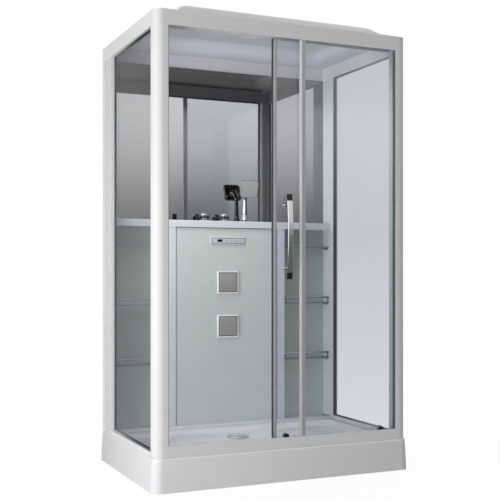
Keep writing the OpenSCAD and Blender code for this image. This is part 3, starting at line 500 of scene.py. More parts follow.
# %% Form the roof
ROOF_WALL, FLANGE, FLANGE_R, FLANGE_INSET = 4, 2, 34, 6
FLAT_DOWN, NEARLY_UPRIGHT = -0.02, 0.2
ROOF_COVE = [
    [2, 8, 22, 40, 20], [8, 26, 72, 90, 24], [14, 40, 98, 122, 28], [24, 52, 118, 148, 32],
    [40, 74, 136, 176, 36], [50, 92, 150, 200, 38], [55, 112, 166, 222, 40]]
roof_low, roof_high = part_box("roof")
flange_x, flange_y, roof_base = roof_high.x / MM, roof_high.y / MM, roof_low.z / MM


def cove_ring(row, grow=0.0, shift=0.0):
    height, front, side, back, radius = row
    return rounded_ring(flange_x + FLANGE_INSET - side + grow, -flange_y - FLANGE_INSET + front - grow,
                        flange_y + FLANGE_INSET - back + grow, radius, roof_base + height + shift)


def flange_ring(inset, z):
    return rounded_ring(flange_x - inset, -flange_y + inset, flange_y - inset, FLANGE_R - inset, z)


cove = smooth_rows(ROOF_COVE)
outside = [flange_ring(0, roof_base), flange_ring(0, roof_base + 1.4), flange_ring(0.6, roof_base + FLANGE)]
outside += [cove_ring(row) for row in cove]
foot_row = [ROOF_WALL] + ROOF_COVE[0][1:]
inside_rows = [foot_row] + [row for row in cove if row[0] > ROOF_WALL + FLANGE]
inside = [cove_ring(row, -ROOF_WALL, -ROOF_WALL) for row in inside_rows]
roof = skin("roof_shell", outside[::-1] + inside, roof_plastic, angle=50)
roof.data.materials.append(ceiling_plastic)
for face in roof.data.polygons:
    towards_middle = face.normal.x * face.center.x + face.normal.y * face.center.y < 0
    hangs = face.normal.z < FLAT_DOWN or (face.normal.z < NEARLY_UPRIGHT and towards_middle)
    face.material_index = int(hangs)
place_piece(roof, "cabin", "roof_plastic", "roof")

# %% [markdown]
# ## The tray
# The tray is one acrylic moulding. Its apron flares slightly towards the floor and ends in a soft top
# edge. The basin falls from the rim through a cove to a flat floor, which ends at the drain hole. One
# skin follows that whole path, out and back underneath, and closes on itself like a ring. Each row gives
# an inset from the outline and a height.

# %% Mould the tray
tray_low, tray_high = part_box("shower_tray")
TRAY_X, TRAY_Y = tray_high.x / MM, tray_high.y / MM
TRAY_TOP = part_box("front_bottom_rail")[0].z / MM
TRAY_WALL, APRON_R, EDGE = 5, 45, 2
BASIN_X, BASIN_FRONT, BASIN_BACK, BASIN_R = 585, -385, 255, 60
BASIN_FLOOR = 112
DRAIN_Y, DRAIN_R, DRAIN_COLLAR = 160, 44, 14


def apron_ring(inset, z):
    return rounded_ring(TRAY_X - inset, -TRAY_Y + inset, TRAY_Y - inset, APRON_R - 0.6 * inset, z)


def basin_ring(inset, z):
    return rounded_ring(BASIN_X - inset, BASIN_FRONT + inset, BASIN_BACK - inset, BASIN_R - 0.4 * inset, z)


APRON = [(0, 0), (0.3, 6), (2.5, 60), (5.5, 120), (6.6, 138), (7.2, 143), (8.6, 147), (11, 149.2), (14, 150)]
BASIN = [(-6, 150), (-3, 149.4), (-0.8, 147.4), (0.6, 144), (5, 134), (10, 124), (14, 118), (21, 113.6),
         (30, 112.3), (44, BASIN_FLOOR)]
UNDER_BASIN = [(44, 107), (24, 107.4), (9, 117), (-5, 144)]
UNDER_APRON = [(17, 145), (12.5, 138), (8, 60), (5, 0)]
over = [apron_ring(*row) for row in APRON] + [basin_ring(*row) for row in BASIN]
drain = [round_ring(0, DRAIN_Y, radius, z, over[-1]) for radius, z in (
    (DRAIN_R + DRAIN_COLLAR, BASIN_FLOOR), (DRAIN_R, BASIN_FLOOR), (DRAIN_R, BASIN_FLOOR - TRAY_WALL))]
under = [basin_ring(*row) for row in UNDER_BASIN] + [apron_ring(*row) for row in UNDER_APRON]
tray = skin("tray_moulding", over + drain + under, tray_acrylic, closed=True, angle=50)
tray.data.materials.append(basin_acrylic)
# The basin's faces take the lighter basin finish, which is painted light.
for face in tray.data.polygons:
    x, y, z = face.center / MM
    inside_rim = abs(x) < BASIN_X and BASIN_FRONT < y < BASIN_BACK
    below_edge = BASIN_FLOOR - EDGE < z < TRAY_TOP - EDGE
    face.material_index = int(inside_rim and below_edge and face.normal.z > 0)

# %% [markdown]
# Behind the basin the tray steps up to a narrow deck, which carries the console. It is a low block of its
# own with a rounded top edge, joined to the moulding.

# %% Add the raised rear deck
DECK_X, DECK_FRONT, DECK_BACK, DECK_R = 611, 262, 384, 3
DECK_TOP = tray_high.z / MM


def deck_ring(inset, z):
    return rounded_ring(DECK_X - inset, DECK_FRONT + inset, DECK_BACK - inset, DECK_R, z, 4)


DECK_ROWS = [(0, TRAY_TOP - 4), (0, DECK_TOP - 3.4), (1, DECK_TOP - 1), (3.4, DECK_TOP)]
deck = skin("rear_deck", [deck_ring(*row) for row in DECK_ROWS], tray_acrylic)
join(tray, deck)
place_piece(tray, "cabin", "tray_acrylic", "shower_tray")

# %% [markdown]
# ## Turning and cutting
# Caps, knobs and pins are turned on a lathe: a profile of radius and height, spun round an axis. A skin of
# round rings is the same thing. Pieces are made upright at the origin, where they are easy to describe,
# and their meshes are then moved to their place. Holes for pins and buttons are cut with a Boolean.

# %% Turned pieces, places and holes
FACING_FRONT = Matrix.Rotation(math.pi / 2, 4, "X")
FACING_BACK = Matrix.Rotation(-math.pi / 2, 4, "X")
FACING_RIGHT = Matrix.Rotation(math.pi / 2, 4, "Y")


def circle_ring(radius, z, sides=40):
    angles = [math.tau * k / sides for k in range(sides)]
    return [Vector((radius * math.cos(angle), radius * math.sin(angle), z)) * MM for angle in angles]


def turned(name, profile, material, sides=40, angle=40):
    rings = [circle_ring(radius, z, sides) for radius, z in profile]
    return skin(name, rings, material, angle=angle)


def rod(name, radius, start, end, material, sides=40):
    return turned(name, [(0, start), (radius, start), (radius, end), (0, end)], material, sides)


def put_at(piece, place, turn=Matrix.Identity(4)):
    piece.data.transform(Matrix.Translation(Vector(place) * MM) @ turn)
    return piece


def settle(piece):
    graph = bpy.context.evaluated_depsgraph_get()
    mesh = bpy.data.meshes.new_from_object(piece.evaluated_get(graph), depsgraph=graph)
    piece.modifiers.clear()
    piece.data = mesh
    return piece


def cut(piece, *cutters):
    for cutter in cutters:
        hole = piece.modifiers.new("hole", "BOOLEAN")
        hole.operation = "DIFFERENCE"
        hole.object = cutter
        settle(piece)
        bpy.data.objects.remove(cutter)
    piece.data.set_sharp_from_angle(angle=math.radians(35))
    return piece


# %% [markdown]
# ## Repeats with Geometry Nodes
# Nozzles, lobes, slots and bristles each repeat by a simple rule. Two small node trees hold the rules:
# one sets copies of a piece on a grid, the other sets them round an axis. Both take their counts and
# sizes from named inputs, so the same tree serves a jet, a hand shower and a drain cover.

# %% A tree with named inputs
def new_tree(name, inputs):
    tree = bpy.data.node_groups.new(name, "GeometryNodeTree")
    sockets = tree.interface
    sockets.new_socket("Piece", in_out="INPUT", socket_type="NodeSocketGeometry")
    for label, kind, value in inputs:
        sockets.new_socket(label, in_out="INPUT", socket_type="NodeSocket" + kind).default_value = value
    sockets.new_socket("Finish", in_out="INPUT", socket_type="NodeSocketMaterial")
    sockets.new_socket("Repeated", in_out="OUTPUT", socket_type="NodeSocketGeometry")
    return tree, tree.nodes.new("NodeGroupInput"), tree.nodes.new("NodeGroupOutput")


def finish_tree(tree, given, copies, output):
    link = tree.links.new
    real = add_node(tree, "GeometryNodeRealizeInstances")
    coat = add_node(tree, "GeometryNodeSetMaterial")
    link(given.outputs["Piece"], copies.inputs["Instance"])
    link(copies.outputs["Instances"], real.inputs["Geometry"])
    link(real.outputs["Geometry"], coat.inputs["Geometry"])
    link(given.outputs["Finish"], coat.inputs["Material"])
    link(coat.outputs["Geometry"], output.inputs["Repeated"])
    return tree


# %% The grid tree and the round tree
def grid_tree():
    tree, given, output = new_tree("on_a_grid", [
        ("Columns", "Int", 9), ("Rows", "Int", 9),
        ("Column Pitch", "Float", 0.01), ("Row Pitch", "Float", 0.01)])
    link = tree.links.new
    grid = add_node(tree, "GeometryNodeMeshGrid")
    for count, pitch, axis in (("Columns", "Column Pitch", "X"), ("Rows", "Row Pitch", "Y")):
        gaps = work_out(tree, "SUBTRACT", given.outputs[count], 1.0)
        link(work_out(tree, "MULTIPLY", gaps, given.outputs[pitch]), grid.inputs["Size " + axis])
        link(given.outputs[count], grid.inputs["Vertices " + axis])
    copies = add_node(tree, "GeometryNodeInstanceOnPoints")
    link(grid.outputs["Mesh"], copies.inputs["Points"])
    return finish_tree(tree, given, copies, output)


def round_tree():
    tree, given, output = new_tree("round_an_axis", [("Count", "Int", 4), ("First Turn", "Float", 0.0)])
    link = tree.links.new
    points = add_node(tree, "GeometryNodePoints")
    link(given.outputs["Count"], points.inputs["Count"])
    number = add_node(tree, "GeometryNodeInputIndex")
    step = work_out(tree, "DIVIDE", math.tau, given.outputs["Count"])
    turn = work_out(tree, "MULTIPLY", number.outputs["Index"], step)
    turn = work_out(tree, "ADD", turn, given.outputs["First Turn"])
    angles = add_node(tree, "ShaderNodeCombineXYZ")
    link(turn, angles.inputs["Z"])
    rotation = add_node(tree, "FunctionNodeEulerToRotation")
    link(angles.outputs["Vector"], rotation.inputs["Euler"])
    copies = add_node(tree, "GeometryNodeInstanceOnPoints")
    link(points.outputs[0], copies.inputs["Points"])
    link(rotation.outputs["Rotation"], copies.inputs["Rotation"])
    return finish_tree(tree, given, copies, output)


ON_A_GRID, ROUND_AN_AXIS = grid_tree(), round_tree()


def repeat(piece, tree, material, **values):
    grower = piece.modifiers.new(tree.name, "NODES")
    grower.node_group = tree
    values["Finish"] = material
    for item in tree.interface.items_tree:
        value_name = item.name.replace(" ", "_")
        if item.in_out == "INPUT" and value_name in values:
            grower[item.identifier] = values[value_name]
    settle(piece)
    print(piece.name, "repeated by", tree.name, ":", len(piece.data.polygons), "faces")
    return piece


# %% [markdown]
# ## Body jets
# Each jet is a square chrome case let into the console glass, with a soft edge that catches the light and
# a well whose walls are black, painted shade that frames the plate. The case's chrome is near white and
# mostly matt, a painted highlight. One path runs from the tail round the bezel and down into the well,
# and rings along that path close on themselves. Two pins in the well carry the tilting plate.

# %% Jet cases
glass_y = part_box("console_glass")[0].y / MM
jet_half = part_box("jet_housings")[1].x / MM
jet_heights = {name: middle_of(name)[2] for name in ("upper_jet_plate", "lower_jet_plate")}
well = jet_half - 10
WELL_WALL = 1.5
JET_PATH = [
    (10, 10, -34), (10, 10, -30), (well + WELL_WALL, 2, -30), (well + WELL_WALL, 2, 0), (jet_half, 5, 0),
    (jet_half, 5, 4.6), (jet_half - 0.5, 4.8, 6.4), (jet_half - 1.8, 4.4, 7.6), (jet_half - 3.6, 3.6, 8),
    (well + 4, 3, 8), (well + 2, 2.4, 7.6), (well + 0.6, 1.8, 6.6), (well, 1.5, 5), (well, 1.5, -26),
    (6, 6, -26), (6, 6, -34)]
PIN_R, PIN_L, PIN_DEPTH, PIN_PLAY = 1.6, 6, 3.5, 0.1


def square_ring(half, corner, z, steps=5):
    return rounded_ring(half, -half, half, corner, z, steps)


# Painted highlight: the case is near white and only a quarter metallic.
jet_chrome = mottled("jet_chrome", (0.92, 0.92, 0.925), 0.25, (0.89, 0.89, 0.895), 80, Metallic=0.25)
cases = []
for name, height in jet_heights.items():
    rings = [square_ring(*row) for row in JET_PATH]
    case = skin(name.replace("plate", "case"), rings, jet_chrome, closed=True)
    case.data.materials.append(black_plastic)
    # Painted shade: the faces inside the well take the black finish.
    for face in case.data.polygons:
        reach = max(abs(face.center.x), abs(face.center.y)) / MM
        face.material_index = int(reach < well + WELL_WALL + PIN_PLAY)
    cases.append(put_at(case, (0, glass_y, height), FACING_FRONT))
    for start in (-well, well - PIN_L):
        pin = rod("jet_pin", PIN_R, 0, PIN_L, chrome, 16)
        cases.append(put_at(pin, (start, glass_y - PIN_DEPTH, height), FACING_RIGHT))
jets = join(*cases)
jets.name = "jet_cases"
place_piece(jets, "cabin", "chrome", "jet_housings")

# %% [markdown]
# ## Jet plates
# The plate is a flat moulding with a small edge radius, bored at both sides for its pins. Its nozzles are
# short rubber cups on an even grid, made once on the lathe and repeated by the grid tree.

# %% Jet plates and their nozzles
plate_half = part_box("upper_jet_plate")[1].x / MM
plate_grey = mottled("plate_grey", (0.47, 0.46, 0.455), 0.36, (0.43, 0.42, 0.415), 60, Metallic=0.3)
nozzle_rubber = mottled("nozzle_rubber", (0.30, 0.30, 0.295), 0.5, (0.25, 0.25, 0.245), 300)
NOZZLE = [(0, 0), (2.5, 0), (2.2, 0.7), (1.7, 1.2), (0.9, 1.2), (0.8, 0.5), (0, 0.5)]
NOZZLE_ROWS, NOZZLE_PITCH, NOZZLE_FOOT = 9, 10.2, 5.9
PLATE_ROWS = [(0, 2, 1), (0, 2, 5.2), (0.5, 1.8, 5.8), (1.4, 1.5, 6)]


def nozzle_field(name, columns, rows, pitch_x, pitch_y):
    cup = turned(name, NOZZLE, nozzle_rubber, 12)
    return repeat(cup, ON_A_GRID, nozzle_rubber, Columns=columns, Rows=rows,
                  Column_Pitch=pitch_x * MM, Row_Pitch=pitch_y * MM)


for name, height in jet_heights.items():
    rings = [square_ring(plate_half - inset, corner, z) for inset, corner, z in PLATE_ROWS]
    plate = skin(name.replace("plate", "nozzle_plate"), rings, plate_grey)
    bores = []
    for start in (-plate_half - 2, plate_half - PIN_L):
        bore = rod("bore", PIN_R + PIN_PLAY, 0, PIN_L + 2, chrome, 24)
        bores.append(put_at(bore, (start, 0, PIN_DEPTH), FACING_RIGHT))
    cut(plate, *bores)
    field = nozzle_field("nozzles", NOZZLE_ROWS, NOZZLE_ROWS, NOZZLE_PITCH, NOZZLE_PITCH)
    put_at(field, (0, 0, NOZZLE_FOOT))
    join(plate, field)
    put_at(plate, (0, glass_y, height), FACING_FRONT)
    place_piece(plate, name, "nozzle_grey", name)

# %% [markdown]
# ## Valve knobs
# A knob is a turned foot and a domed cap with four dark lobes between them for the fingers. One lobe is
# turned on its own axis, and the round tree sets four of them about the hub. The bore under the hub takes
# the valve's spindle.

# %% Knobs
lobe_black = finish("lobe_black", (0.022, 0.022, 0.024), 0.3)
vary_gloss(lobe_black, 0.24, 0.36, 60)
HUB = [(4.1, 0), (17, 0), (17.5, 1), (17.3, 2.2), (14, 4.6), (12, 8), (11.4, 12), (11.6, 18), (13.4, 23),
       (15.6, 26), (16.4, 29), (15.8, 33), (13.4, 37), (9, 40), (4, 41.3), (0, 41.6), (0, 28), (4.1, 28)]
LOBE = [(0, 6), (5.2, 7), (5.4, 11), (6.6, 14.5), (7.5, 18), (7.7, 20.8), (7.1, 24), (5.2, 26.4),
        (2.6, 27.7), (0, 28)]
LOBE_HEIGHT, LOBE_TURN = 16, math.radians(70)


for name in ("hot_knob", "cold_knob"):
    rings = [circle_ring(*row, 48) for row in HUB]
    hub = skin(name.replace("knob", "valve_knob"), rings, chrome, closed=True, angle=30)
    lobe = turned("lobe", LOBE, lobe_black, 28)
    put_at(lobe, (0, 0, LOBE_HEIGHT), FACING_RIGHT)
    repeat(lobe, ROUND_AN_AXIS, lobe_black, Count=4, First_Turn=LOBE_TURN)
    join(hub, lobe)
    knob_x, knob_y, _ = middle_of(name)
    put_at(hub, (knob_x, knob_y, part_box(name)[0].z / MM))
    place_piece(hub, name, "chrome", name)

# %% [markdown]
# ## Hand shower
# A moulded hand shower has no border between grip, neck and head. So the grip and neck are one tube whose
# radius changes along a bent line, the head is a stack of rounded squares, and a voxel remesh melts the two
# together. The plug under the grip stays a turned piece, because it has to fit its collar.

# %% Shape the hand shower
shower_x, shower_y, _ = middle_of("handset_collar")
ledge_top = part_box("ledge")[1].z / MM
GRIP_START, PLUG_R, PLUG_START = 36.4, 11.5, 6.4
NECK_ROWS = [[0, 36.4, 12.2], [0, 39, 12.5], [0, 60, 12.2], [0, 92, 11.1], [0, 118, 10.7], [4, 134, 11.2],
             [14, 147, 13.5], [27, 156, 17.5], [40, 162, 22], [50, 165.5, 24]]
HEAD_ROWS = [(28, 26, 13, -15.5), (37, 35, 15, -14), (43.5, 41.5, 16.4, -11), (47.6, 45.6, 17.4, -6),
             (49.2, 47.2, 18, -1), (49.5, 47.5, 18, 5), (49.0, 47.0, 17.6, 7.6), (47.4, 45.4, 16.5, 9.2)]
HEAD_PLACE, HEAD_FROM, BACK_SHADE_FROM = (0, -60, 170), 128, -2.5
LOOKS_BACK, LOOKS_RIGHT = 0.05, 0.1
HEAD_TURN = Matrix.Rotation(math.radians(110), 4, "X")


def bent_tube(name, rows, material, sides=36):
    rings = []
    for before, (forward, height, radius), after in zip([rows[0]] + rows, rows, rows[1:] + [rows[-1]]):
        along = Vector((0, before[0] - after[0], after[1] - before[1])).normalized()
        middle, across = Vector((0, -forward, height)), along.cross(Vector((1, 0, 0)))
        rings.append([(middle + radius * Vector((math.cos(a), 0, 0)) + radius * math.sin(a) * across) * MM
                      for a in (math.tau * k / sides for k in range(sides))])
    return skin(name, rings, material)


def wide_ring(half_w, half_h, corner, z, steps=8):
    return rounded_ring(half_w, -half_h, half_h, corner, z, steps)


shell_black = finish("shell_black", (0.018, 0.018, 0.02), 0.1, Coat_Weight=0.5)
vary_gloss(shell_black, 0.07, 0.15, 50)
grip_chrome = mottled("grip_chrome", (0.50, 0.51, 0.52), 0.12, (0.48, 0.49, 0.50), 60, Metallic=1.0)
vary_gloss(grip_chrome, 0.1, 0.16, 60)
paint_shade_in_mirrors(grip_chrome, (0.05, 0.05, 0.052))
neck = bent_tube("neck", smooth_rows(NECK_ROWS), chrome)
head = skin("hand_shower_body", [wide_ring(*row) for row in HEAD_ROWS], chrome, angle=60)
put_at(head, HEAD_PLACE, HEAD_TURN)
shower = join(head, neck)
melt = shower.modifiers.new("melt", "REMESH")
melt.mode = "VOXEL"
melt.voxel_size = 0.0014
melt.use_smooth_shade = True
ease = shower.modifiers.new("ease", "SMOOTH")
ease.factor = 0.5
ease.iterations = 8
settle(shower)

# %% [markdown]
# The back of the head, and the faces of the grip that look back or to the right, are painted black as
# painted shade, and the front of the grip is chrome. Both lie in one mesh, so each face takes its finish
# by where it is in the head, or by where it looks on the grip.

# %% Colour the front and the back
shower.data.materials.clear()
shower.data.materials.append(grip_chrome)
shower.data.materials.append(shell_black)
# Painted shade: faces at the back of the head, or looking back or right on the grip, are black.
for face in shower.data.polygons:
    in_head = HEAD_TURN.inverted() @ (face.center / MM - Vector(HEAD_PLACE))
    if face.center.z / MM > HEAD_FROM:
        in_painted_shade = in_head.z < BACK_SHADE_FROM
    else:
        in_painted_shade = face.normal.y > LOOKS_BACK or face.normal.x > LOOKS_RIGHT
    face.material_index = int(in_painted_shade)
print("hand shower body", len(shower.data.polygons), "faces")

# %% Add the plug, the face and the nozzles
spray_grey = mottled("spray_grey", (0.52, 0.53, 0.52), 0.3, (0.49, 0.50, 0.49), 60)
PLUG = [(0, PLUG_START), (PLUG_R - 1, PLUG_START), (PLUG_R, PLUG_START + 1), (PLUG_R, GRIP_START + 4),
        (0, GRIP_START + 4)]
FACE_ROWS = [(45.6, 43.6, 15.4, 6), (45.6, 43.6, 15.4, 9.4), (45.0, 43.0, 15, 10.0), (43.4, 41.4, 14, 10.3)]
SPRAY_ROWS, SPRAY_PITCH, SPRAY_FOOT = 8, (10.6, 10.2), 10.1
plug = turned("plug", PLUG, chrome)
spray_face = skin("spray_face", [wide_ring(*row) for row in FACE_ROWS], spray_grey)
put_at(spray_face, HEAD_PLACE, HEAD_TURN)
spray_field = nozzle_field("spray_nozzles", SPRAY_ROWS, SPRAY_ROWS, *SPRAY_PITCH)
put_at(spray_field, (0, 0, SPRAY_FOOT))
put_at(spray_field, HEAD_PLACE, HEAD_TURN)
join(shower, plug, spray_face, spray_field)
put_at(shower, (shower_x, shower_y, ledge_top))
shower.name = "hand_shower_melted"
place_piece(shower, "hand_shower", "shower_grey", "hand_shower")

# %% [markdown]
# ## Door handle
# The outer handle is a flat bar on a long arc, with a polished face on a black core. Its upper half
# mirrors the light and its lower half the floor. Its ends sit in black sockets. Two bolts pass through
# the door and carry a turned knob on the inner side.

# %% Bend the handle bar
handle_low, handle_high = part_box("door_handle")
door_low, door_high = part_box("door_glass")
handle_x, _, handle_z = middle_of("door_handle")
handle_face, handle_glass = handle_low.y / MM, door_low.y / MM
HANDLE_HALF = (handle_high.z - handle_low.z) / 2 / MM
BAR_W, BAR_T, BAR_RISE, SOCKET_L, STUD_INSET = 28, 8, 14, 29, 50
ARC_R = (HANDLE_HALF ** 2 + BAR_RISE ** 2) / (2 * BAR_RISE)
BAR_STEPS, TOWARDS_FRONT = 40, -0.45


def bar_depth(z):
    return ARC_R - math.sqrt(ARC_R ** 2 - z ** 2)


def bar_ring(z, inset=0.0):
    front = handle_face + bar_depth(z) + inset
    return rounded_ring(BAR_W / 2 - inset, front, front + BAR_T - 2 * inset, 3.4 - inset / 2, z, 5)


bar_end = HANDLE_HALF - SOCKET_L
bar_rings = [bar_ring(-bar_end + 2 * bar_end * k / BAR_STEPS, 0.4) for k in range(BAR_STEPS + 1)]
handle_chrome = finish("handle_chrome", (0.52, 0.52, 0.53), 0.14, Metallic=1.0)
vary_gloss(handle_chrome, 0.1, 0.18, 50)
handle = skin("handle_bar", bar_rings, handle_chrome, angle=50)
handle.data.materials.append(black_plastic)
for face in handle.data.polygons:
    face.material_index = int(face.normal.y > TOWARDS_FRONT)

# %% Fit sockets, bolts and inner knobs
SOCKET_ROWS = [(bar_end - 2, 0.4), (bar_end - 2, 0), (HANDLE_HALF - 14, 0), (HANDLE_HALF - 3, 0),
               (HANDLE_HALF - 1, 0.7), (HANDLE_HALF, 2.2)]
INNER_KNOB = [(0, 0), (11.6, 0), (12, 0.6), (12, 2.6), (9.6, 4.4), (7.8, 7), (7, 11), (8.2, 15), (10.4, 19),
              (11.8, 22), (12, 24.4), (11.2, 27), (8, 28.7), (0, 29)]


def stud_profile(length):
    return [(0, 0), (6.6, 0), (6.6, 4), (7, 5), (7, length - 5), (8.4, length - 3), (10.6, length - 3),
            (11, length - 2.4), (11, length), (6, length), (6, length + 6), (0, length + 6)]


fittings = []
for side in (-1, 1):
    socket_rings = [bar_ring(side * z, inset) for z, inset in SOCKET_ROWS]
    fittings.append(skin("bar_socket", socket_rings, black_plastic))
    stud_z = side * (HANDLE_HALF - STUD_INSET)
    back = handle_face + bar_depth(stud_z) + BAR_T - 2
    stud = turned("stud", stud_profile(handle_glass - back), chrome)
    fittings.append(put_at(stud, (0, back, stud_z), FACING_BACK))
    knob = turned("inner_knob", INNER_KNOB, chrome)
    fittings.append(put_at(knob, (0, door_high.y / MM, stud_z), FACING_BACK))
join(handle, *fittings)
put_at(handle, (handle_x, 0, handle_z))
handle.name = "handle_bow"
place_piece(handle, "door", "chrome", "door_handle")

# %% [markdown]
# ## The fixed pane's stile
# The free edge of the fixed pane is held by an anodised bar. A wide slope along its left edge takes the
# light from the side and reads as a bright line. A groove at its back holds the glass, and a brush seals
# the gap to the sliding door: tufts of short bristles in a row, which the grid tree sets up.

# %% Stile
stile_low, stile_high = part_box("fixed_stile")
STILE_W = (stile_high.x - stile_low.x) / MM
STILE_D, SLOPE_W, SLOPE_D = 14, 9, 8
GLASS_FRONT, GLASS_BACK, GROOVE_X = 2.1, 8.7, 13.7
BRUSH_X, BRUSH_END, TUFT_PITCH = 10.5, 60, 5
STILE_PATH = [
    (0, SLOPE_D), (0.3, SLOPE_D - 0.7), (SLOPE_W - 0.7, 0.3), (SLOPE_W, 0), (STILE_W - 1, 0), (STILE_W, 1),
    (STILE_W, GLASS_FRONT), (GROOVE_X, GLASS_FRONT), (GROOVE_X, GLASS_BACK), (STILE_W, GLASS_BACK),
    (STILE_W, STILE_D - 1), (STILE_W - 1, STILE_D), (3, STILE_D), (0.9, STILE_D - 1), (0, STILE_D - 3)]
stile_rings = [[Vector((stile_low.x / MM + x, stile_low.y / MM + y, z / MM)) * MM for x, y in STILE_PATH]
               for z in (stile_low.z, stile_high.z)]
stile = skin("stile_bar", stile_rings, anodised, angle=15)

# %% Brush
brush_grey = mottled("brush_grey", (0.30, 0.30, 0.30), 0.7, (0.22, 0.22, 0.22), 400)
tuft = turned("tufts", [(0, 0), (1.1, 0), (1.4, 3.6), (0, 3.6)], brush_grey, 6)
brush_l = (stile_high.z - stile_low.z) / MM - 2 * BRUSH_END
tuft_count = int(brush_l / TUFT_PITCH)
repeat(tuft, ON_A_GRID, brush_grey, Columns=1, Rows=tuft_count, Column_Pitch=0.0, Row_Pitch=TUFT_PITCH * MM)
brush_place = (stile_low.x / MM + BRUSH_X, stile_low.y / MM + STILE_D, middle_of("fixed_stile")[2])
put_at(tuft, brush_place, FACING_BACK)
join(stile, tuft)
stile.name = "stile_with_brush"
place_piece(stile, "cabin", "satin_frame", "fixed_stile")

# %% [markdown]
# ## Control panel
# The panel is a moulded plate with a sloping edge, a raised rim and, inside a groove, a greyer field with
# the display and four buttons. The slope is light above and dark below, and the groove is painted dark
# grey, painted shade that draws a thin line.

# %% Mould the panel
panel_low, panel_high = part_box("control_panel")
PANEL_W = (panel_high.x - panel_low.x) / 2 / MM
PANEL_H = (panel_high.z - panel_low.z) / 2 / MM
PANEL_ROWS = [(0, 8, 0), (0, 8, 1.2), (2.6, 6.8, 5.6), (3.4, 6.4, 6), (5.4, 5.4, 6), (5.8, 5.2, 4.4),
              (8.4, 4.2, 4.4), (8.8, 4, 5.4)]
panel_rings = [wide_ring(PANEL_W - inset, PANEL_H - inset, corner, z) for inset, corner, z in PANEL_ROWS]
panel = skin("panel_plate", panel_rings, ledge_white)

# %% Cut the holes
HOLE_START, HOLE_END, HOLE_CORNER, BUTTON_PLAY = -2, 9, 0.5, 0.2
holes = []
for name in ("light_button", "fan_button", "radio_button", "power_button"):
    low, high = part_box(name)
    hole_r = (high.x - low.x) / 2 / MM + BUTTON_PLAY
    hole = rod("hole", hole_r, HOLE_START, HOLE_END, chrome)
    holes.append(put_at(hole, (middle_of(name)[0], 0, 0)))
low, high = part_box("panel_display")
half_w, half_h = (high.x - low.x) / 2 / MM, (high.z - low.z) / 2 / MM
display_hole = [wide_ring(half_w, half_h, HOLE_CORNER, z, 2) for z in (HOLE_START, HOLE_END)]
holes.append(put_at(skin("display_hole", display_hole, chrome), (middle_of("panel_display")[0], 0, 0)))
cut(panel, *holes)

# %% Colour the groove and the field
GROOVE_START, GROOVE_END, BACK_ROWS = 5.5, 8.7, 4
panel_field = mottled("panel_field", (0.58, 0.64, 0.70), 0.3, (0.55, 0.61, 0.67), 40)
# Painted shade: the groove's faces are dark grey.
groove_grey = mottled("groove_grey", (0.20, 0.23, 0.26), 0.5, (0.17, 0.20, 0.23), 60)
panel.data.materials.append(groove_grey)
panel.data.materials.append(panel_field)
for face in panel.data.polygons:
    x, y, z = face.center / MM
    inset = min(PANEL_W - abs(x), PANEL_H - abs(y))
    if z > BACK_ROWS:
        face.material_index = int(inset >= GROOVE_START) + int(inset >= GROOVE_END)
put_at(panel, (0, panel_high.y / MM, middle_of("control_panel")[2]), FACING_FRONT)
place_piece(panel, "cabin", "panel_white", "control_panel")

# %% [markdown]
# ## Drain cover
# The cover is a domed chrome disc that lifts off its drain. Twelve short slots let the water in under its
# rim: one slot cutter is repeated round the axis and cut out in one go.

# %% Cover and slots
cover_low, cover_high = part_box("drain_cover")
cover_r = (cover_high.x - cover_low.x) / 2 / MM
DOME, SLOTS, SLOT_INSET, SLOT_L, SLOT_W, SLOT_CORNER = 5, 12, 17, 16, 3.2, 1.5
COVER = [(0, 0), (cover_r - 1, 0), (cover_r, 0.5), (cover_r, 1.2), (cover_r - 1.4, 2.4), (cover_r - 6, 3.3),
         (cover_r / 2, 4.4), (0, DOME)]
cover = turned("cover_disc", COVER, chrome, 72, angle=30)
slot = skin("slot", [wide_ring(SLOT_L / 2, SLOT_W / 2, SLOT_CORNER, z, 3) for z in (-3, DOME + 3)], chrome)
put_at(slot, (cover_r - SLOT_INSET, 0, 0))
repeat(slot, ROUND_AN_AXIS, chrome, Count=SLOTS, First_Turn=0.0)
cut(cover, slot)

# %% [markdown]
# Under the disc, a short skirt centres the cover in the drain. Six windows let the water through it.

# %% Skirt
SKIRT_R, SKIRT_WALL, SKIRT_TOP, SKIRT_BOTTOM = 38.7, 2, 0.4, -18
SKIRT = [(SKIRT_R, SKIRT_TOP), (SKIRT_R, SKIRT_BOTTOM), (SKIRT_R - SKIRT_WALL, SKIRT_BOTTOM),
         (SKIRT_R - SKIRT_WALL, SKIRT_TOP)]
WINDOW = [(30, -8), (45, -8), (45, 8), (30, 8)]
skirt = skin("skirt", [circle_ring(r, z, 64) for r, z in SKIRT], chrome, closed=True, angle=30)
window = skin("window", [[Vector((x, y, z)) * MM for x, y in WINDOW] for z in (-17, -5)], chrome)
repeat(window, ROUND_AN_AXIS, chrome, Count=6, First_Turn=0.0)
cut(skirt, window)
join(cover, skirt)
put_at(cover, (0, middle_of("drain_cover")[1], cover_high.z / MM - DOME))
place_piece(cover, "drain_cover", "chrome", "drain_cover")

# %% [markdown]
# ## Floor, background and light
# The floor is pale and keeps the cabin's shadow. Rays from the camera also get some plain white from
# it, so that it runs into the white background, while polished metal sees a grey floor, as in a studio
# whose floor is lit less than its walls.

# %% Floor
FLOOR_SIZE = 40.0
half = FLOOR_SIZE / 2
corners = [(-half, -half, 0), (half, -half, 0), (half, half, 0), (-half, half, 0)]
floor_mesh = bpy.data.meshes.new("floor")
floor_mesh.from_pydata(corners, [], [(0, 1, 2, 3)])
floor = bpy.data.objects.new("floor", floor_mesh)
bpy.context.scene.collection.objects.link(floor)
floor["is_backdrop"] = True
print("floor", FLOOR_SIZE, "m wide")

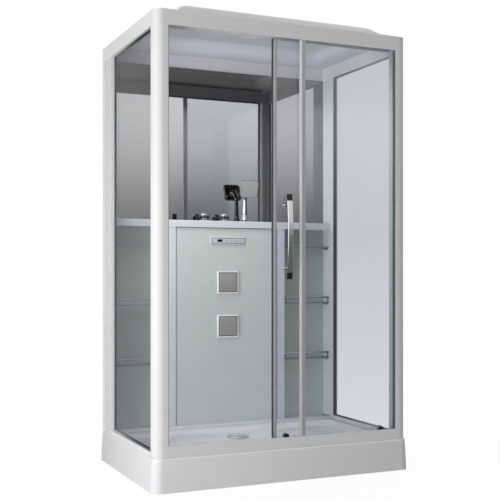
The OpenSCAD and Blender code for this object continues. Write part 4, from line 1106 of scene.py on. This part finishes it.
# %% Paint the floor
SHADOW_END, WHITE_FROM = 0.7, 1.6
WHITE_NEAR, WHITE_FAR, GREY_IN_MIRRORS = 0.96, 1.0, 0.2
floor_paint = finish("floor_paint", (0.82, 0.82, 0.82), 0.6)
tree = floor_paint.node_tree
path = add_node(tree, "ShaderNodeLightPath")
white = add_node(tree, "ShaderNodeEmission")
grey = add_node(tree, "ShaderNodeEmission", Strength=GREY_IN_MIRRORS)
place = add_node(tree, "ShaderNodeTexCoord")
far = add_node(tree, "ShaderNodeVectorMath", operation="LENGTH")
tree.links.new(place.outputs["Object"], far.inputs[0])
share = rescale(tree, far.outputs["Value"], SHADOW_END, WHITE_FROM, WHITE_NEAR, WHITE_FAR)
share = work_out(tree, "MULTIPLY", share, path.outputs["Is Camera Ray"])
seen = mix_shaders(tree, share, shader_of(floor_paint).outputs["BSDF"], white.outputs["Emission"])
seen = mix_shaders(tree, path.outputs["Is Glossy Ray"], seen, grey.outputs["Emission"])
tree.links.new(seen, tree.nodes["Material Output"].inputs["Surface"])
floor.data.materials.append(floor_paint)

# %% [markdown]
# The world is white to the camera. To a reflection it is a grey room with soft boxes: each one is a
# direction, the cosines between which it fades in, and its strength. Behind the camera stands a wall
# that grows lighter upwards, which gives the mirror its slow gradient and the handle its dark end. All
# other light sees a plain fill, which is stronger straight overhead.

# %% Fill, wall and soft boxes
FILL, OVERHEAD, ROOM_TONE = 0.34, 0.65, 0.3
STEEP, WALL_SPAN, WALL_RISE, WALL_TONE = (0.6, 0.95), (-0.7, -0.2), (0.03, 0.17), (-0.08, 0.75)
SOFT_BOXES = [
    ((-1, 0.1, 0), 0.70, 0.90, 1.0), ((-0.8, -0.6, 0), 0.75, 0.95, 2.3), ((1, 0, 0), 0.70, 0.90, 0.3),
    ((0.42, 0.907, 0.17), 0.90, 0.98, 0.8), ((0, 0, 1), 0.20, 0.60, 0.8)]
world = bpy.data.worlds.new("studio")
world.use_nodes = True
bpy.context.scene.world = world
tree = world.node_tree
tree.nodes.clear()
parts = parts_of(tree, "Generated")
direction = add_node(tree, "ShaderNodeTexCoord").outputs["Generated"]


def background(strength):
    node = add_node(tree, "ShaderNodeBackground", Color=(1, 1, 1, 1))
    feed(tree, [node.inputs["Strength"]], strength)
    return node.outputs["Background"]


def ramp(source, start, end, low, high):
    return rescale(tree, source, start, end, low, high, "SMOOTHSTEP")


fill = ramp(parts["Z"], *STEEP, FILL, OVERHEAD)
wall_share = ramp(parts["Y"], *WALL_SPAN, 1.0, 0.0)
tone = work_out(tree, "MULTIPLY", wall_share, ramp(parts["Z"], *WALL_RISE, *WALL_TONE))
for axis, start, end, strength in SOFT_BOXES:
    cosine = add_node(tree, "ShaderNodeVectorMath", operation="DOT_PRODUCT")
    feed(tree, cosine.inputs, direction, Vector(axis).normalized())
    tone = work_out(tree, "ADD", tone, ramp(cosine.outputs["Value"], start, end, 0.0, strength))
mirrored = work_out(tree, "ADD", tone, ROOM_TONE)
print("world with", len(SOFT_BOXES), "soft boxes")

# %% Tell the rays apart
path = add_node(tree, "ShaderNodeLightPath")
output = add_node(tree, "ShaderNodeOutputWorld")
light = mix_shaders(tree, path.outputs["Is Glossy Ray"], background(fill), background(mirrored))
light = mix_shaders(tree, path.outputs["Is Camera Ray"], light, background(1.0))
tree.links.new(light, output.inputs["Surface"])

# %% [markdown]
# The lamps are large and soft. The key stands low at the front left, so that every face turned to the
# left is bright and the faces turned to the camera are greyer, and a weak one near the left pane helps
# it inside. Two small lamps under the roof and at the inner left stand for the light that the cabin's
# own white walls would throw back.

# %% Lamps
def soft_lamp(name, place, target, size, power):
    data = bpy.data.lights.new(name, "AREA")
    data.shape = "RECTANGLE"
    data.size, data.size_y = size
    data.energy = power
    lamp = bpy.data.objects.new(name, data)
    lamp.location = place
    lamp.rotation_euler = (Vector(target) - Vector(place)).to_track_quat("-Z", "Y").to_euler()
    bpy.context.scene.collection.objects.link(lamp)
    lamp.visible_camera = False
    lamp.visible_glossy = False
    print(name, power, "W")


MIDDLE = (0, 0, 1.05)
soft_lamp("left_key", (-5.5, -2.0, 0.6), MIDDLE, (2.0, 1.0), 154)
soft_lamp("left_near", (-2.4, -1.1, 0.8), (-0.65, 0.1, 0.9), (0.8, 0.9), 11)
soft_lamp("under_roof", (0.0, -0.05, 2.0), (0.0, 0.0, 0.2), (0.5, 0.4), 5.2)
soft_lamp("inner_left", (-0.56, -0.05, 1.4), (0.6, -0.05, 1.4), (0.5, 1.0), 1.2)
bpy.context.scene.view_settings.view_transform = "Standard"

# %% [markdown]
# ## Sizes
# The last step prints the dressed model's box.

# %% Write the sizes and finish
low, high = [list(corner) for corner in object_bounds()]
print("visual box", [round(v, 3) for v in low + high])
